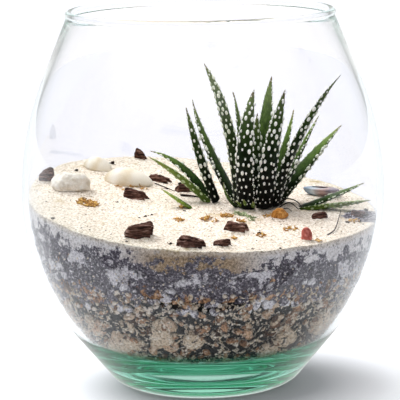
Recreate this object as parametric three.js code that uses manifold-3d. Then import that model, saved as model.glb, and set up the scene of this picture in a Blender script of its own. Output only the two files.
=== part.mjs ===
// Glass plant terrarium: a bellied bowl of clear glass with a thick green-tinted foot, filled with
// bark and pebbles, dark soil and pale sand, and planted with a zebra haworthia and its pups.
// Bark chips, shells and small stones lie on the sand.
// Millimetres, +Z up. The origin is the middle of the foot, on the surface that the bowl stands on.

import * as THREE from "three";
import { mergeVertices } from "three/addons/utils/BufferGeometryUtils.js";
import Module from "manifold-3d";

const wasm = await Module();
wasm.setup();

// Driving dimensions

const bowlHeight = 156;
const bellyRadius = 75;
const bellyHeight = 80;
const wallThickness = 2.3;
const floorHeight = 10;
const gap = 0.3;
const facetsRound = 48;

// The outside is a straight flare over a rounded heel, two arcs that meet at the belly, and a
// straight neck with a melted lip. The inside follows it, and turns to the floor in a wide corner.
const lowerArc = { centreRadius: bellyRadius - 92, radius: 92 };
const upperArc = { centreRadius: bellyRadius - 125, radius: 125 };
const flareAngle = 39.8;
const neckAngle = 22;
const lip = { centreRadius: 54, centreHeight: bowlHeight - 1.6, radius: 1.6 };
const foot = { puntRadius: 24, puntDepth: 2, ringRadius: 30 };
const cornerRadius = 38;

// The sand slopes down from the back left, where it is banked up, to the front right
const sandMiddleHeight = 75.8;
const sandSlope = { right: -5.9, back: 7.3, twist: -2.5, saddle: 0.9 };
const sandSpan = 72.5;
const sandDepth = { edge: 7.5, middle: 12 };
const soilBottomHeight = 46;

const leafSides = 9;
const tubercleHeight = 0.45;
const bandSpacing = 4.05;
const rootRise = 1.7;

const degrees = Math.PI / 180;

// Seeded draws, so that every build gives the same chips and stones
function makeDraw(seed) {
  let state = seed;
  return function draw(low, high) {
    state = (state * 1664525 + 1013904223) % 4294967296;
    return low + (high - low) * (state / 4294967296);
  };
}

// Shared geometry

function turnUpright(geometry) {
  return geometry.rotateX(90 * degrees);
}

function mergedPositions(geometry) {
  const bare = geometry.index ? geometry.clone() : geometry;
  bare.deleteAttribute("normal");
  bare.deleteAttribute("uv");
  return mergeVertices(bare, 1e-4);
}

// Moves every vertex of a geometry to the place that a rule gives it
function reshape(geometry, rule) {
  const position = geometry.attributes.position;
  const point = new THREE.Vector3();
  for (let i = 0; i < position.count; i += 1) {
    point.fromBufferAttribute(position, i);
    const moved = rule(point);
    position.setXYZ(i, moved.x, moved.y, moved.z);
  }
  return geometry;
}

function solidOf(geometry) {
  const merged = mergedPositions(geometry);
  const mesh = new wasm.Mesh({
    numProp: 3,
    vertProperties: new Float32Array(merged.attributes.position.array),
    triVerts: new Uint32Array(merged.index.array),
  });
  return new wasm.Manifold(mesh);
}

function geometryOf(solid) {
  const mesh = solid.getMesh();
  const geometry = new THREE.BufferGeometry();
  geometry.setAttribute("position", new THREE.BufferAttribute(new Float32Array(mesh.vertProperties), 3));
  geometry.setIndex(new THREE.BufferAttribute(new Uint32Array(mesh.triVerts), 1));
  return geometry;
}

function fused(geometries) {
  let solid = solidOf(geometries[0]);
  for (const geometry of geometries.slice(1)) {
    solid = solid.add(solidOf(geometry));
  }
  return solid;
}

function arcPoint(arc, centreHeight, angle) {
  const radius = arc.centreRadius + arc.radius * Math.cos(angle * degrees);
  const height = centreHeight + arc.radius * Math.sin(angle * degrees);
  return new THREE.Vector2(radius, height);
}

function arcPoints(arc, centreHeight, from, to, steps) {
  const points = [];
  for (let i = 0; i <= steps; i += 1) {
    points.push(arcPoint(arc, centreHeight, from + (to - from) * (i / steps)));
  }
  return points;
}

// Bowl

const innerLower = { centreRadius: lowerArc.centreRadius, radius: lowerArc.radius - wallThickness };
const innerUpper = { centreRadius: upperArc.centreRadius, radius: upperArc.radius - wallThickness };
const cornerReach = innerLower.radius - cornerRadius;
const cornerCentreHeight = floorHeight + cornerRadius;
const cornerAngle = Math.asin((cornerCentreHeight - bellyHeight) / cornerReach) / degrees;
const corner = {
  centreRadius: innerLower.centreRadius + cornerReach * Math.cos(cornerAngle * degrees),
  radius: cornerRadius,
};
const cornerTop = arcPoint(innerLower, bellyHeight, cornerAngle).y;

// Radius of the inside of the wall at a height, less a clearance
function innerRadius(height, clearance) {
  let arc = innerUpper;
  let centreHeight = bellyHeight;
  if (height < bellyHeight) {
    arc = innerLower;
  }
  if (height < cornerTop) {
    arc = corner;
    centreHeight = cornerCentreHeight;
  }
  const reach = arc.radius - clearance;
  return arc.centreRadius + Math.sqrt(Math.max(0, reach * reach - (height - centreHeight) ** 2));
}

function bowlGeometry() {
  const flareTop = arcPoint(lowerArc, bellyHeight, -flareAngle);
  const flareFootRadius = flareTop.x - flareTop.y * Math.tan(flareAngle * degrees);
  const flareSlope = (90 - flareAngle) * degrees;
  const heelRadius = (flareFootRadius - foot.ringRadius) / Math.tan(flareSlope / 2);
  const heel = { centreRadius: foot.ringRadius, radius: heelRadius };
  const innerNeck = arcPoint(innerUpper, bellyHeight, neckAngle);
  const lipArc = { centreRadius: lip.centreRadius, radius: lip.radius };
  const profile = [
    new THREE.Vector2(0, foot.puntDepth),
    new THREE.Vector2(foot.puntRadius * 0.6, foot.puntDepth * 0.7),
    new THREE.Vector2(foot.puntRadius, 0),
    ...arcPoints(heel, heelRadius, -90, -flareAngle, 4),
    ...arcPoints(lowerArc, bellyHeight, -flareAngle, 0, 6),
    ...arcPoints(upperArc, bellyHeight, 0, neckAngle, 3).slice(1),
    ...arcPoints(lipArc, lip.centreHeight, -45, 225, 6),
    innerNeck,
    ...arcPoints(innerUpper, bellyHeight, neckAngle, 0, 3).slice(1),
    ...arcPoints(innerLower, bellyHeight, 0, cornerAngle, 7).slice(1),
    ...arcPoints(corner, cornerCentreHeight, cornerAngle, -90, 7).slice(1),
    new THREE.Vector2(0, floorHeight),
  ];
  profile[profile.length - 2].y = floorHeight;
  return turnUpright(new THREE.LatheGeometry(profile, facetsRound));
}

// Layers

function sandHeight(x, y) {
  const u = x / sandSpan;
  const v = y / sandSpan;
  const slope = sandSlope.right * u + sandSlope.back * v;
  return sandMiddleHeight + slope + sandSlope.twist * u * v + sandSlope.saddle * (u * u - v * v);
}

function soilHeight(x, y) {
  const out = Math.min(1, Math.hypot(x, y) / sandSpan);
  const angle = Math.atan2(y, x);
  const ragged = 1.1 * Math.sin(5 * angle + 1) + 0.7 * Math.sin(11 * angle);
  const depth = sandDepth.middle + (sandDepth.edge - sandDepth.middle) * out;
  return sandHeight(x, y) - depth + ragged * out;
}

function drainageHeight(x, y) {
  const out = Math.min(1, Math.hypot(x, y) / sandSpan);
  const angle = Math.atan2(y, x);
  const ragged = 2 * Math.sin(4 * angle + 2) + 1.2 * Math.sin(9 * angle);
  return soilBottomHeight + ragged * out;
}

function floorLevel() {
  return floorHeight;
}

// Height at which a surface meets the wall in one direction round the bowl
function edgeHeight(surface, angle, offset) {
  let height = surface(0, 0) + offset;
  for (let i = 0; i < 12; i += 1) {
    const radius = innerRadius(height, gap);
    height = surface(radius * Math.cos(angle), radius * Math.sin(angle)) + offset;
  }
  return height;
}

// A layer fills the bowl between two surfaces; its outside can be pressed in a little by a rule
function layerGeometry(lower, upper, sideSteps, topFractions, relief) {
  const profile = [new THREE.Vector2(0, 0), new THREE.Vector2(0.5, 0)];
  for (let i = 0; i <= sideSteps; i += 1) {
    profile.push(new THREE.Vector2(1, i / sideSteps));
  }
  for (const fraction of topFractions) {
    profile.push(new THREE.Vector2(fraction, 1));
  }
  profile.push(new THREE.Vector2(0, 1));
  const geometry = turnUpright(new THREE.LatheGeometry(profile, facetsRound));
  return reshape(geometry, (point) => {
    const fraction = Math.hypot(point.x, point.y);
    const angle = Math.atan2(point.y, point.x);
    const step = THREE.MathUtils.clamp(point.z, 0, 1);
    const low = edgeHeight(lower, angle, gap);
    const high = edgeHeight(upper, angle, 0);
    const edge = low + (high - low) * step ** 1.4;
    const press = step > 0.01 && step < 0.99 ? relief(angle, step) : 0;
    const radius = fraction * (innerRadius(edge, gap) - press);
    const x = radius * Math.cos(angle);
    const y = radius * Math.sin(angle);
    if (fraction > 0.99) {
      return new THREE.Vector3(x, y, edge);
    }
    const height = step < 0.5 ? lower(x, y) + gap : upper(x, y);
    return new THREE.Vector3(x, y, height);
  });
}

function pebbleRelief(angle, step) {
  return 0.8 + 0.8 * Math.sin(19 * angle + 23 * step) * Math.cos(13 * angle - 17 * step);
}

function crumbRelief(angle, step) {
  return 0.4 + 0.4 * Math.sin(17 * angle + 9 * step) * Math.cos(22 * angle + 5 * step);
}

function smooth() {
  return 0;
}

// Haworthia

// Each crown is a short stem in a plain round hole; its leaves grow out of the top of the stem.
// A leaf is listed by its root, a middle point and its tip, then its width near the root. A high
// taper keeps it broad for longer before it narrows to its point.
const mainCrown = {
  x: 21.5,
  y: -2,
  stemRadius: 8.5,
  holeRadius: 11.4,
  depth: 9,
  rise: 3,
  leaves: [
    { root: [15.5, -5], middle: [11.5, -8, 107.5], tip: [1, -6, 136], width: 8, taper: 3 },
    { root: [18, 3.5], middle: [16, 7, 103], tip: [13, 12, 120.5], width: 4.8, taper: 2 },
    { root: [18, -8], middle: [17.5, -15, 99.5], tip: [21.5, -11, 124], width: 9.7, taper: 3 },
    { root: [22.5, -3.5], middle: [22, -1, 95], tip: [23, 1, 112.5], width: 7.2, taper: 2.5 },
    { root: [19.5, -0.5], middle: [19.5, 1, 95], tip: [18, 4, 112], width: 6.2, taper: 2.5 },
    { root: [23, 3.5], middle: [26, 9, 102.5], tip: [29.5, 17, 127], width: 7.2, taper: 2 },
    { root: [25, -8], middle: [28, -14, 99.5], tip: [34, -14, 124], width: 10.3, taper: 2.4 },
    { root: [26, 3], middle: [34, 11, 95.5], tip: [39, 22, 111], width: 5.4, taper: 2 },
    { root: [28.5, -5], middle: [38.5, -9, 103], tip: [56.5, -12, 129.5], width: 9.4, taper: 1.5 },
    { root: [29, 0], middle: [40.5, 3, 96.5], tip: [49, 7, 110.5], width: 6.2, taper: 1.8 },
    { root: [28.5, 2.5], middle: [46, 10, 93], tip: [59.5, 20, 104.5], width: 8.4, taper: 1.6 },
    { root: [15, 1], middle: [2.5, 9, 98.5], tip: [-4, 14, 117], width: 8, taper: 2 },
    { root: [14.5, -6.5], middle: [10, -12, 80], tip: [8.5, -14, 86], width: 2.6, taper: 2.5 },
    { root: [16.5, -8], middle: [14.5, -11.5, 77], tip: [13, -13.5, 78], width: 2.4, taper: 2 },
    { root: [18, -8.5], middle: [17, -13, 77.5], tip: [16.5, -15, 79], width: 2.6, taper: 2 },
    { root: [20, -9], middle: [20.5, -13.5, 77], tip: [20.5, -15.5, 78], width: 2.4, taper: 2 },
  ],
};
const leftCrown = {
  x: 4.5,
  y: -1,
  stemRadius: 3.4,
  holeRadius: 5.1,
  depth: 7,
  rise: 2.5,
  leaves: [
    { root: [5.5, -2], middle: [-1, -5, 94.5], tip: [-6.5, -8, 116.5], width: 4.8, taper: 2.2 },
    { root: [3.5, 0.5], middle: [-8.5, 4, 90], tip: [-22, 6, 96.5], width: 4.2, taper: 2 },
    { root: [3, -2], middle: [-9.5, -3, 87.5], tip: [-22.5, -3, 95.5], width: 4.6, taper: 2 },
  ],
};
const rightCrown = {
  x: 38.5,
  y: -3.5,
  stemRadius: 2.6,
  holeRadius: 4.2,
  depth: 6,
  rise: 2.2,
  leaves: [
    { root: [39, -3], middle: [54, 1, 77.5], tip: [68, 5, 82], width: 3.6, taper: 2 },
    { root: [39, -4.5], middle: [55, -5, 75], tip: [69.5, -7, 76.5], width: 3.8, taper: 2 },
  ],
};
const youngCrown = {
  x: -4,
  y: -12,
  stemRadius: 1,
  holeRadius: 2.6,
  depth: 5,
  rise: 1.6,
  leaves: [
    { root: [-4.2, -12], middle: [-10.5, -13, 79.5], tip: [-17.5, -14, 84], width: 2.8, taper: 2 },
  ],
};
const crowns = [mainCrown, leftCrown, rightCrown, youngCrown];

function crownHeight(crown) {
  return sandHeight(crown.x, crown.y);
}

function leafWidth(leaf, t) {
  return Math.max(0.7, leaf.width * (1 - t ** leaf.taper));
}

// The outline of a leaf across its length: a deep rounded outer face and a flat inner one.
// Turn runs from -1 to 1, with 0 in the middle of the outer face.
function leafOutline(turn) {
  const outerShare = 0.72;
  const part = Math.abs(turn) / outerShare;
  if (part <= 1) {
    const angle = part * 90 * degrees;
    return { side: Math.sign(turn) * Math.sin(angle), out: 0.36 * Math.cos(angle) };
  }
  const inward = (Math.abs(turn) - outerShare) / (1 - outerShare);
  return { side: Math.sign(turn) * (1 - inward), out: -0.09 * inward };
}

function leafGeometry(leaf, crown) {
  const root = new THREE.Vector3(leaf.root[0], leaf.root[1], crownHeight(crown) + rootRise);
  const middle = new THREE.Vector3(...leaf.middle);
  const tip = new THREE.Vector3(...leaf.tip);
  const control = middle.clone().multiplyScalar(2).addScaledVector(root, -0.5).addScaledVector(tip, -0.5);
  const curve = new THREE.QuadraticBezierCurve3(root, control, tip);
  const bands = Math.round(curve.getLength() / bandSpacing);
  const rings = 2 * bands;
  const away = new THREE.Vector3(leaf.root[0] - crown.x, leaf.root[1] - crown.y, 0).normalize();
  const level = new THREE.Vector3(0, 0, 1).cross(away);
  const tube = new THREE.CylinderGeometry(1, 1, 1, leafSides, rings, false);
  return reshape(mergedPositions(tube), (point) => {
    const t = THREE.MathUtils.clamp(point.y + 0.5, 0, 1);
    const centre = curve.getPointAt(t);
    const along = curve.getTangentAt(t);
    const side = level.clone().addScaledVector(along, -level.dot(along)).normalize();
    const out = side.clone().cross(along);
    if (Math.hypot(point.x, point.z) < 0.5) {
      return centre;
    }
    const turn = Math.atan2(point.x, point.z) / Math.PI;
    const ring = Math.round(t * rings);
    const spoke = Math.round(turn * leafSides / 2);
    const outline = leafOutline(turn);
    const onBand = ring % 2 === 1 && (spoke + (ring - 1) / 2) % 2 === 0;
    const raised = onBand && outline.out >= 0 ? tubercleHeight : 0;
    const width = leafWidth(leaf, t);
    const reach = outline.side * (width / 2 + raised);
    const depth = outline.out * width + raised * Math.sign(outline.out);
    return centre.addScaledVector(side, reach).addScaledVector(out, depth);
  });
}

function stemGeometry(crown) {
  const top = crown.rise;
  const bottom = -crown.depth;
  const profile = [
    new THREE.Vector2(0, bottom),
    new THREE.Vector2(crown.stemRadius * 0.6, bottom),
    new THREE.Vector2(crown.stemRadius, -1),
    new THREE.Vector2(crown.stemRadius, top * 0.5),
    new THREE.Vector2(crown.stemRadius * 0.5, top),
    new THREE.Vector2(0, top),
  ];
  const stem = turnUpright(new THREE.LatheGeometry(profile, 12));
  return stem.translate(crown.x, crown.y, crownHeight(crown));
}

function plantGeometry(crown) {
  const leaves = crown.leaves.map((leaf) => leafGeometry(leaf, crown));
  return geometryOf(fused([stemGeometry(crown), ...leaves]));
}

function sandGeometry() {
  const topFractions = [0.85, 0.68, 0.5, 0.34, 0.17];
  let sand = solidOf(layerGeometry(soilHeight, sandHeight, 3, topFractions, smooth));
  for (const crown of crowns) {
    const height = crown.depth + 2 * crown.rise + gap;
    const hole = new THREE.CylinderGeometry(crown.holeRadius, crown.holeRadius, height, 24);
    turnUpright(hole).translate(crown.x, crown.y, crownHeight(crown) - crown.depth - gap + height / 2);
    sand = sand.subtract(solidOf(hole));
  }
  return geometryOf(sand);
}

// Loose pieces on the sand

// Turns a piece to the slope of the sand and sets its underside just clear of it
function layOnSand(geometry, x, y, turn) {
  const step = 1;
  const slopeX = (sandHeight(x + step, y) - sandHeight(x - step, y)) / (2 * step);
  const slopeY = (sandHeight(x, y + step) - sandHeight(x, y - step)) / (2 * step);
  const normal = new THREE.Vector3(-slopeX, -slopeY, 1).normalize();
  const tilt = new THREE.Quaternion().setFromUnitVectors(new THREE.Vector3(0, 0, 1), normal);
  geometry.computeBoundingBox();
  geometry.translate(0, 0, 0.4 - geometry.boundingBox.min.z);
  geometry.rotateZ(turn * degrees);
  geometry.applyQuaternion(tilt);
  return geometry.translate(x, y, sandHeight(x, y));
}

// Bark splits into flat slabs with a slanting break at each end
function chipGeometry(chip, index) {
  const draw = makeDraw(100 + index);
  const [length, width, thickness] = chip.size;
  const outline = new THREE.Shape();
  const corners = 7;
  for (let i = 0; i < corners; i += 1) {
    const angle = (i / corners) * 360 * degrees;
    const squareness = 1 / Math.max(Math.abs(Math.cos(angle)), Math.abs(Math.sin(angle)));
    const reach = 0.5 * squareness ** 0.7 * draw(0.82, 1);
    outline.lineTo(Math.cos(angle) * length * reach, Math.sin(angle) * width * reach);
  }
  const slab = new THREE.ExtrudeGeometry(outline, { depth: thickness, steps: 2, bevelEnabled: false });
  const lean = draw(-0.25, 0.25);
  return reshape(mergedPositions(slab), (point) => {
    const level = point.z / thickness;
    const shrink = 1 - 0.22 * level * level;
    const wedge = 1 + chip.wedge * (point.x / length);
    return new THREE.Vector3(point.x * shrink + lean * point.z, point.y * shrink, point.z * wedge);
  });
}

// Length, width and thickness of each bark chip, where it lies, and how far one end is thinner
const chips = [
  { size: [8.5, 5.5, 4.5], place: [-66, 11], turn: 20, wedge: 0.9 },
  { size: [6.5, 4, 3.6], place: [-27, 60], turn: -10, wedge: -0.9 },
  { size: [13, 5, 2.6], place: [-18, 24], turn: -14, wedge: -0.4 },
  { size: [12.8, 6, 3.6], place: [-27.5, -5], turn: -6, wedge: -0.5 },
  { size: [13.5, 8, 5], place: [-25.5, -56], turn: 12, wedge: 0.4 },
  { size: [13.5, 6, 3.4], place: [-5, -66], turn: -4, wedge: -0.6 },
  { size: [8.4, 5, 2.6], place: [7, -63.5], turn: 6, wedge: 0.5 },
  { size: [11.5, 6, 3.4], place: [13, -43], turn: -8, wedge: -0.3 },
  { size: [8, 5, 2.4], place: [47, -19], turn: 25, wedge: 0.3 },
  { size: [7.5, 4.5, 2.4], place: [63, -14], turn: -15, wedge: -0.4 },
  { size: [11, 6, 3.2], place: [-7, 12], turn: 30, wedge: 0.3 },
];

// Stones are spheres squashed to size, with dents by a formula and a flat underside
function stoneGeometry(stone) {
  const [length, width, height] = stone.size;
  const ball = new THREE.SphereGeometry(1, stone.facets, Math.round(stone.facets * 0.6));
  return reshape(mergedPositions(turnUpright(ball)), (point) => {
    const lump = Math.sin(3 * point.x + stone.phase) * Math.cos(4 * point.y + 2 * point.z);
    const swell = 1 + stone.lumpiness * lump;
    const low = Math.max(point.z, -0.45);
    const across = new THREE.Vector3(point.x * length / 2, point.y * width / 2, low * height / 1.45);
    return across.multiplyScalar(swell);
  });
}

// A shell valve is a thin cupped plate, oval and drawn out to its beak at one end
function valveGeometry(valve) {
  const [length, width, height] = valve.size;
  const profile = [];
  const steps = 4;
  const innerRadiusShare = 1 - 2 * valve.thickness / width;
  const innerHeightShare = 1 - valve.thickness / height;
  for (let i = 0; i <= steps; i += 1) {
    const angle = (i / steps) * 90 * degrees;
    profile.push(new THREE.Vector2(Math.sin(angle) * innerRadiusShare, Math.cos(angle) * innerHeightShare));
  }
  for (let i = steps; i >= 0; i -= 1) {
    const angle = (i / steps) * 90 * degrees;
    profile.push(new THREE.Vector2(Math.sin(angle), Math.cos(angle)));
  }
  const dome = turnUpright(new THREE.LatheGeometry(profile, 14));
  return reshape(mergedPositions(dome), (point) => {
    const beak = 1 - 0.35 * Math.max(0, point.x) ** 2;
    const lift = height * (1 + 0.15 * point.x);
    return new THREE.Vector3(point.x * length / 2, point.y * beak * width / 2, point.z * lift);
  });
}

// Colours and finishes

function material(color, roughness) {
  return new THREE.MeshStandardMaterial({ color, roughness, metalness: 0 });
}

const glassFinish = new THREE.MeshStandardMaterial({
  color: 0xcfe9de,
  roughness: 0.05,
  metalness: 0,
  transparent: true,
  opacity: 0.35,
});
const leafGreen = 0x2f4a2c;
const barkBrown = 0x4a3128;

const terrarium = new THREE.Group();

function addPiece(name, geometry, finish) {
  const mesh = new THREE.Mesh(geometry, finish);
  mesh.name = name;
  terrarium.add(mesh);
  return mesh;
}

addPiece("glass_bowl", bowlGeometry(), glassFinish);
const drainage = layerGeometry(floorLevel, drainageHeight, 7, [0.5], pebbleRelief);
addPiece("drainage_layer", drainage, material(0x8a7456, 0.9));
const soil = layerGeometry(drainageHeight, soilHeight, 4, [0.5], crumbRelief);
addPiece("soil_layer", soil, material(0x4b474c, 0.95));
addPiece("sand_layer", sandGeometry(), material(0xeadcc4, 0.9));
addPiece("haworthia_rosette", plantGeometry(mainCrown), material(leafGreen, 0.45));
addPiece("haworthia_pup_left", plantGeometry(leftCrown), material(leafGreen, 0.45));
addPiece("haworthia_pup_right", plantGeometry(rightCrown), material(leafGreen, 0.45));
addPiece("young_leaf", plantGeometry(youngCrown), material(0x6f8f3a, 0.45));

chips.forEach((chip, index) => {
  const slab = layOnSand(chipGeometry(chip, index), chip.place[0], chip.place[1], chip.turn);
  addPiece(`bark_chip_${index + 1}`, slab, material(barkBrown, 0.9));
});

const whiteStone = { size: [18, 11, 7.5], facets: 14, phase: 0.6, lumpiness: 0.14 };
addPiece("white_stone", layOnSand(stoneGeometry(whiteStone), -55, 1, 8), material(0xf1ede4, 0.7));

const redPebble = { size: [5, 4.6, 5.5], facets: 10, phase: 2, lumpiness: 0.1 };
addPiece("red_pebble", layOnSand(stoneGeometry(redPebble), 40, -52, 0), material(0xb5563f, 0.7));

const amberPiece = { size: [7.5, 5, 4], facets: 10, phase: 4, lumpiness: 0.2 };
addPiece("amber_bark", layOnSand(stoneGeometry(amberPiece), 31, -22, 10), material(0xa8642a, 0.85));

const creamValve = { size: [14, 12, 5.5], thickness: 1 };
addPiece("cream_shell", layOnSand(valveGeometry(creamValve), -45.5, 36, 170), material(0xf3ead6, 0.45));

const whiteValve = { size: [23, 14, 7], thickness: 1.1 };
addPiece("white_shell", layOnSand(valveGeometry(whiteValve), -31.5, 17, 175), material(0xf5f2ea, 0.4));

const blueValve = { size: [17, 8.5, 4.2], thickness: 1 };
const mussel = valveGeometry(blueValve).rotateX(180 * degrees);
addPiece("blue_shell", layOnSand(mussel, 50, 19, 176), material(0x8296ab, 0.35));

export default terrarium;
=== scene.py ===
"""Glass plant terrarium: a zebra haworthia in sand, over soil and bark, in a bellied glass bowl."""

import math
import random

import bpy
from mathutils import Matrix, Vector, noise


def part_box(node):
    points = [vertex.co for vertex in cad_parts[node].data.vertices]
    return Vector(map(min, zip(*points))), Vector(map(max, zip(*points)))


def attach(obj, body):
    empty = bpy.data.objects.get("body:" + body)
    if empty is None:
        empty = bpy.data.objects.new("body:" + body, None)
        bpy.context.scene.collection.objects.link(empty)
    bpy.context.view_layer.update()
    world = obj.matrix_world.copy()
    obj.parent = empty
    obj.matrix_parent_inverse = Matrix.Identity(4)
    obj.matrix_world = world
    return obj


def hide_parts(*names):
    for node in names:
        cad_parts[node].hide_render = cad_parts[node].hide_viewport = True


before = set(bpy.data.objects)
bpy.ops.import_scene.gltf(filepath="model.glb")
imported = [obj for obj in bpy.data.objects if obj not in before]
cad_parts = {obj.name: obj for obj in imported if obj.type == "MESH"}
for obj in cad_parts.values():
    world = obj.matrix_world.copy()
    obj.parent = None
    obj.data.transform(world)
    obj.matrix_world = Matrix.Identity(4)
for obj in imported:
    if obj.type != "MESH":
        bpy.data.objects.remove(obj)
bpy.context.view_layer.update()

bl_info = {
    "name": "Glass Plant Terrarium",
    "version": (1, 0, 0),
    "blender": (4, 5, 0),
    "location": "3D View > Sidebar > Terrarium",
    "description": "Models a planted glass bowl around its packed frame",
    "category": "Object",
}

MM = 0.001
FULL_TURN = 2 * math.pi

# Profile of the bowl in mm, the same as the frame's: arcs have a centre radius, a radius and a height
LOWER_ARC = (-17.0, 92.0, 80.0)
UPPER_ARC = (-50.0, 125.0, 80.0)
LIP_ARC = (54.0, 1.6, 154.4)
WALL = 2.3
FLOOR_HEIGHT = 10.0
CORNER_RADIUS = 38.0
FLARE_ANGLE = 39.8
NECK_ANGLE = 22.0
FOOT_RADIUS = 30.0
PUNT_RADIUS = 24.0
PUNT_DEPTH = 2.0
PUNT_STEPS = 8
GAP = 0.35

# Lie of the sand in mm: its height in the middle, its slopes, its twist and its bow over half its span
SAND_SPAN = 72.5
SAND_LEVEL = 75.8
SAND_SLOPE = (-5.9, 7.3)
SAND_TWIST = -2.5
SAND_BOW = 0.9
SAND_DEEP, SAND_THIN = 12.0, 7.5
DRAINAGE_LEVEL = 46.0
UNDERSIDE_SHARE = 0.12


def linear(hex_colour):
    """The linear colour, with alpha, of an sRGB hex value."""
    channels = []
    for start in (1, 3, 5):
        part = int(hex_colour[start:start + 2], 16) / 255
        channels.append(part / 12.92 if part <= 0.04045 else ((part + 0.055) / 1.055) ** 2.4)
    return (*channels, 1.0)


def clamp(value, low=0.0, high=1.0):
    return max(low, min(high, value))


# Selection and finishing

def pick(*objects):
    """Selects these objects alone; the first is active."""
    bpy.ops.object.select_all(action="DESELECT")
    for obj in objects:
        obj.select_set(True)
    bpy.context.view_layer.objects.active = objects[0]


def newest(name):
    """The object that was just added or joined, under its own name."""
    obj = bpy.context.object
    obj.name = name
    obj.data.name = name
    return obj


def start_piece(primitive, name, **settings):
    """Adds the primitive that a piece starts from, by its operator, with nothing else selected."""
    bpy.ops.object.select_all(action="DESELECT")
    primitive(**settings)
    return newest(name)


def start_ball(name, around, rings, radius=1):
    """Starts a piece from a sphere, to be drawn out into its shape."""
    return start_piece(bpy.ops.mesh.primitive_uv_sphere_add, name,
                       segments=around, ring_count=rings, radius=radius)


def join(pieces, name):
    pick(*pieces)
    bpy.ops.object.join()
    return newest(name)


def shape(obj, rule):
    """Puts each point where the rule says, in mm."""
    for vertex in obj.data.vertices:
        vertex.co = Vector(rule(vertex.co)) * MM


def apply_modifier(obj, kind, **settings):
    pick(obj)
    modifier = obj.modifiers.new(kind.title(), kind)
    for key, value in settings.items():
        setattr(modifier, key, value)
    bpy.ops.object.modifier_apply(modifier=modifier.name)


def roughen(obj, *reliefs):
    """Moves the surface in and out by solid noises, each with a size and a strength in mm."""
    for size, strength in reliefs:
        texture = bpy.data.textures.new(f"{obj.name} relief", "CLOUDS")
        texture.noise_scale = size * MM
        texture.noise_depth = 2
        apply_modifier(obj, "DISPLACE", texture=texture, texture_coords="LOCAL", strength=strength * MM)


def mesh_edit(obj, *steps):
    """Runs operators on all of a mesh in edit mode; a step is an operator and its settings."""
    pick(obj)
    bpy.ops.object.mode_set(mode="EDIT")
    bpy.ops.mesh.select_all(action="SELECT")
    for operator, settings in steps:
        operator(**settings)
    bpy.ops.object.mode_set(mode="OBJECT")


def mend_seams(obj):
    mesh_edit(
        obj,
        (bpy.ops.mesh.remove_doubles, {"threshold": 0.002 * MM}),
        (bpy.ops.mesh.normals_make_consistent, {"inside": False}),
    )


def smooth(obj, angle=180):
    """Shades a mesh smooth, except where its faces meet at more than an angle in degrees."""
    pick(obj)
    bpy.ops.object.shade_smooth_by_angle(angle=math.radians(angle))


def set_value(mesh, name, value):
    """Stores a number at each point: one value for all, or a list with one for each."""
    layer = mesh.attributes.get(name) or mesh.attributes.new(name, "FLOAT", "POINT")
    layer.data.foreach_set("value", value if isinstance(value, list) else [value] * len(mesh.vertices))


def scatter(model, places, name):
    """Copies a model to each place, each copy with its own mesh, and joins the copies.

    A place is a matrix in metres and the tint of that copy, from 0 to 1.
    """
    copies = []
    for place, tint in places:
        mesh = model.data.copy()
        mesh.transform(place)
        set_value(mesh, "tint", tint)
        copies.append(bpy.data.objects.new(name, mesh))
        bpy.context.collection.objects.link(copies[-1])
    return join(copies, name)


def strew(model, places, name):
    """Copies a small model to its places inside the glass, and takes the model away."""
    strewn = scatter(model, places, name)
    bpy.data.objects.remove(model)
    keep_off_glass(strewn)
    return strewn


def finish_piece(obj, slot, *nodes):
    """Sets a piece on the frame: it rides on the root and replaces its nodes; its slot is not used."""
    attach(obj, "root")
    if nodes:
        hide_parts(*nodes)


def copy_of_node(node, name):
    """A merged copy of one of the frame's nodes, to be worked into a finer piece."""
    copy = bpy.data.objects.new(name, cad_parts[node].data.copy())
    bpy.context.collection.objects.link(copy)
    copy.data.materials.clear()
    mend_seams(copy)
    mesh_edit(copy, (bpy.ops.mesh.dissolve_limited, {"angle_limit": math.radians(2)}))
    return copy


# Materials

def add_node(tree, kind, inputs=None, ramp=None, **settings):
    """Adds a node. Inputs are values, sockets, or nodes that give their first output."""
    made = tree.nodes.new(kind)
    for name, value in settings.items():
        setattr(made, name, value)
    for socket, value in (inputs or {}).items():
        if isinstance(value, bpy.types.Node):
            value = value.outputs[0]
        if isinstance(value, bpy.types.NodeSocket):
            tree.links.new(value, made.inputs[socket])
        else:
            made.inputs[socket].default_value = value
    for index, (position, colour) in enumerate(ramp or []):
        stops = made.color_ramp.elements
        stop = stops[index] if index < 2 else stops.new(position)
        stop.position = position
        stop.color = linear(colour)
    return made


def new_material(name):
    """An empty material, its node tree, and the place on the object that its patterns read."""
    material = bpy.data.materials.new(name)
    material.use_nodes = True
    tree = material.node_tree
    tree.nodes.clear()
    return material, tree, add_node(tree, "ShaderNodeTexCoord").outputs["Object"]


def grain(size):
    """Texture scale for a pattern whose cells are this many mm across."""
    return 1 / (size * MM)


def speckled(tree, place, tones, size, detail=4.0, roughness=0.72):
    """Colour of a stuff made of grains about size mm across, its tones spread by a fine noise."""
    grains = add_node(tree, "ShaderNodeTexNoise",
                      {"Vector": place, "Scale": grain(size), "Detail": detail, "Roughness": roughness})
    return add_node(tree, "ShaderNodeValToRGB", {"Fac": grains}, ramp=tones)


def strewn_over(tree, place, under, share, tones, size):
    """Colour of a stuff with another, made of grains, lying over it where a mask says."""
    over = speckled(tree, place, tones, size)
    return add_node(tree, "ShaderNodeMix", {0: share, 6: under, 7: over}, data_type="RGBA").outputs[2]


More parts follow.
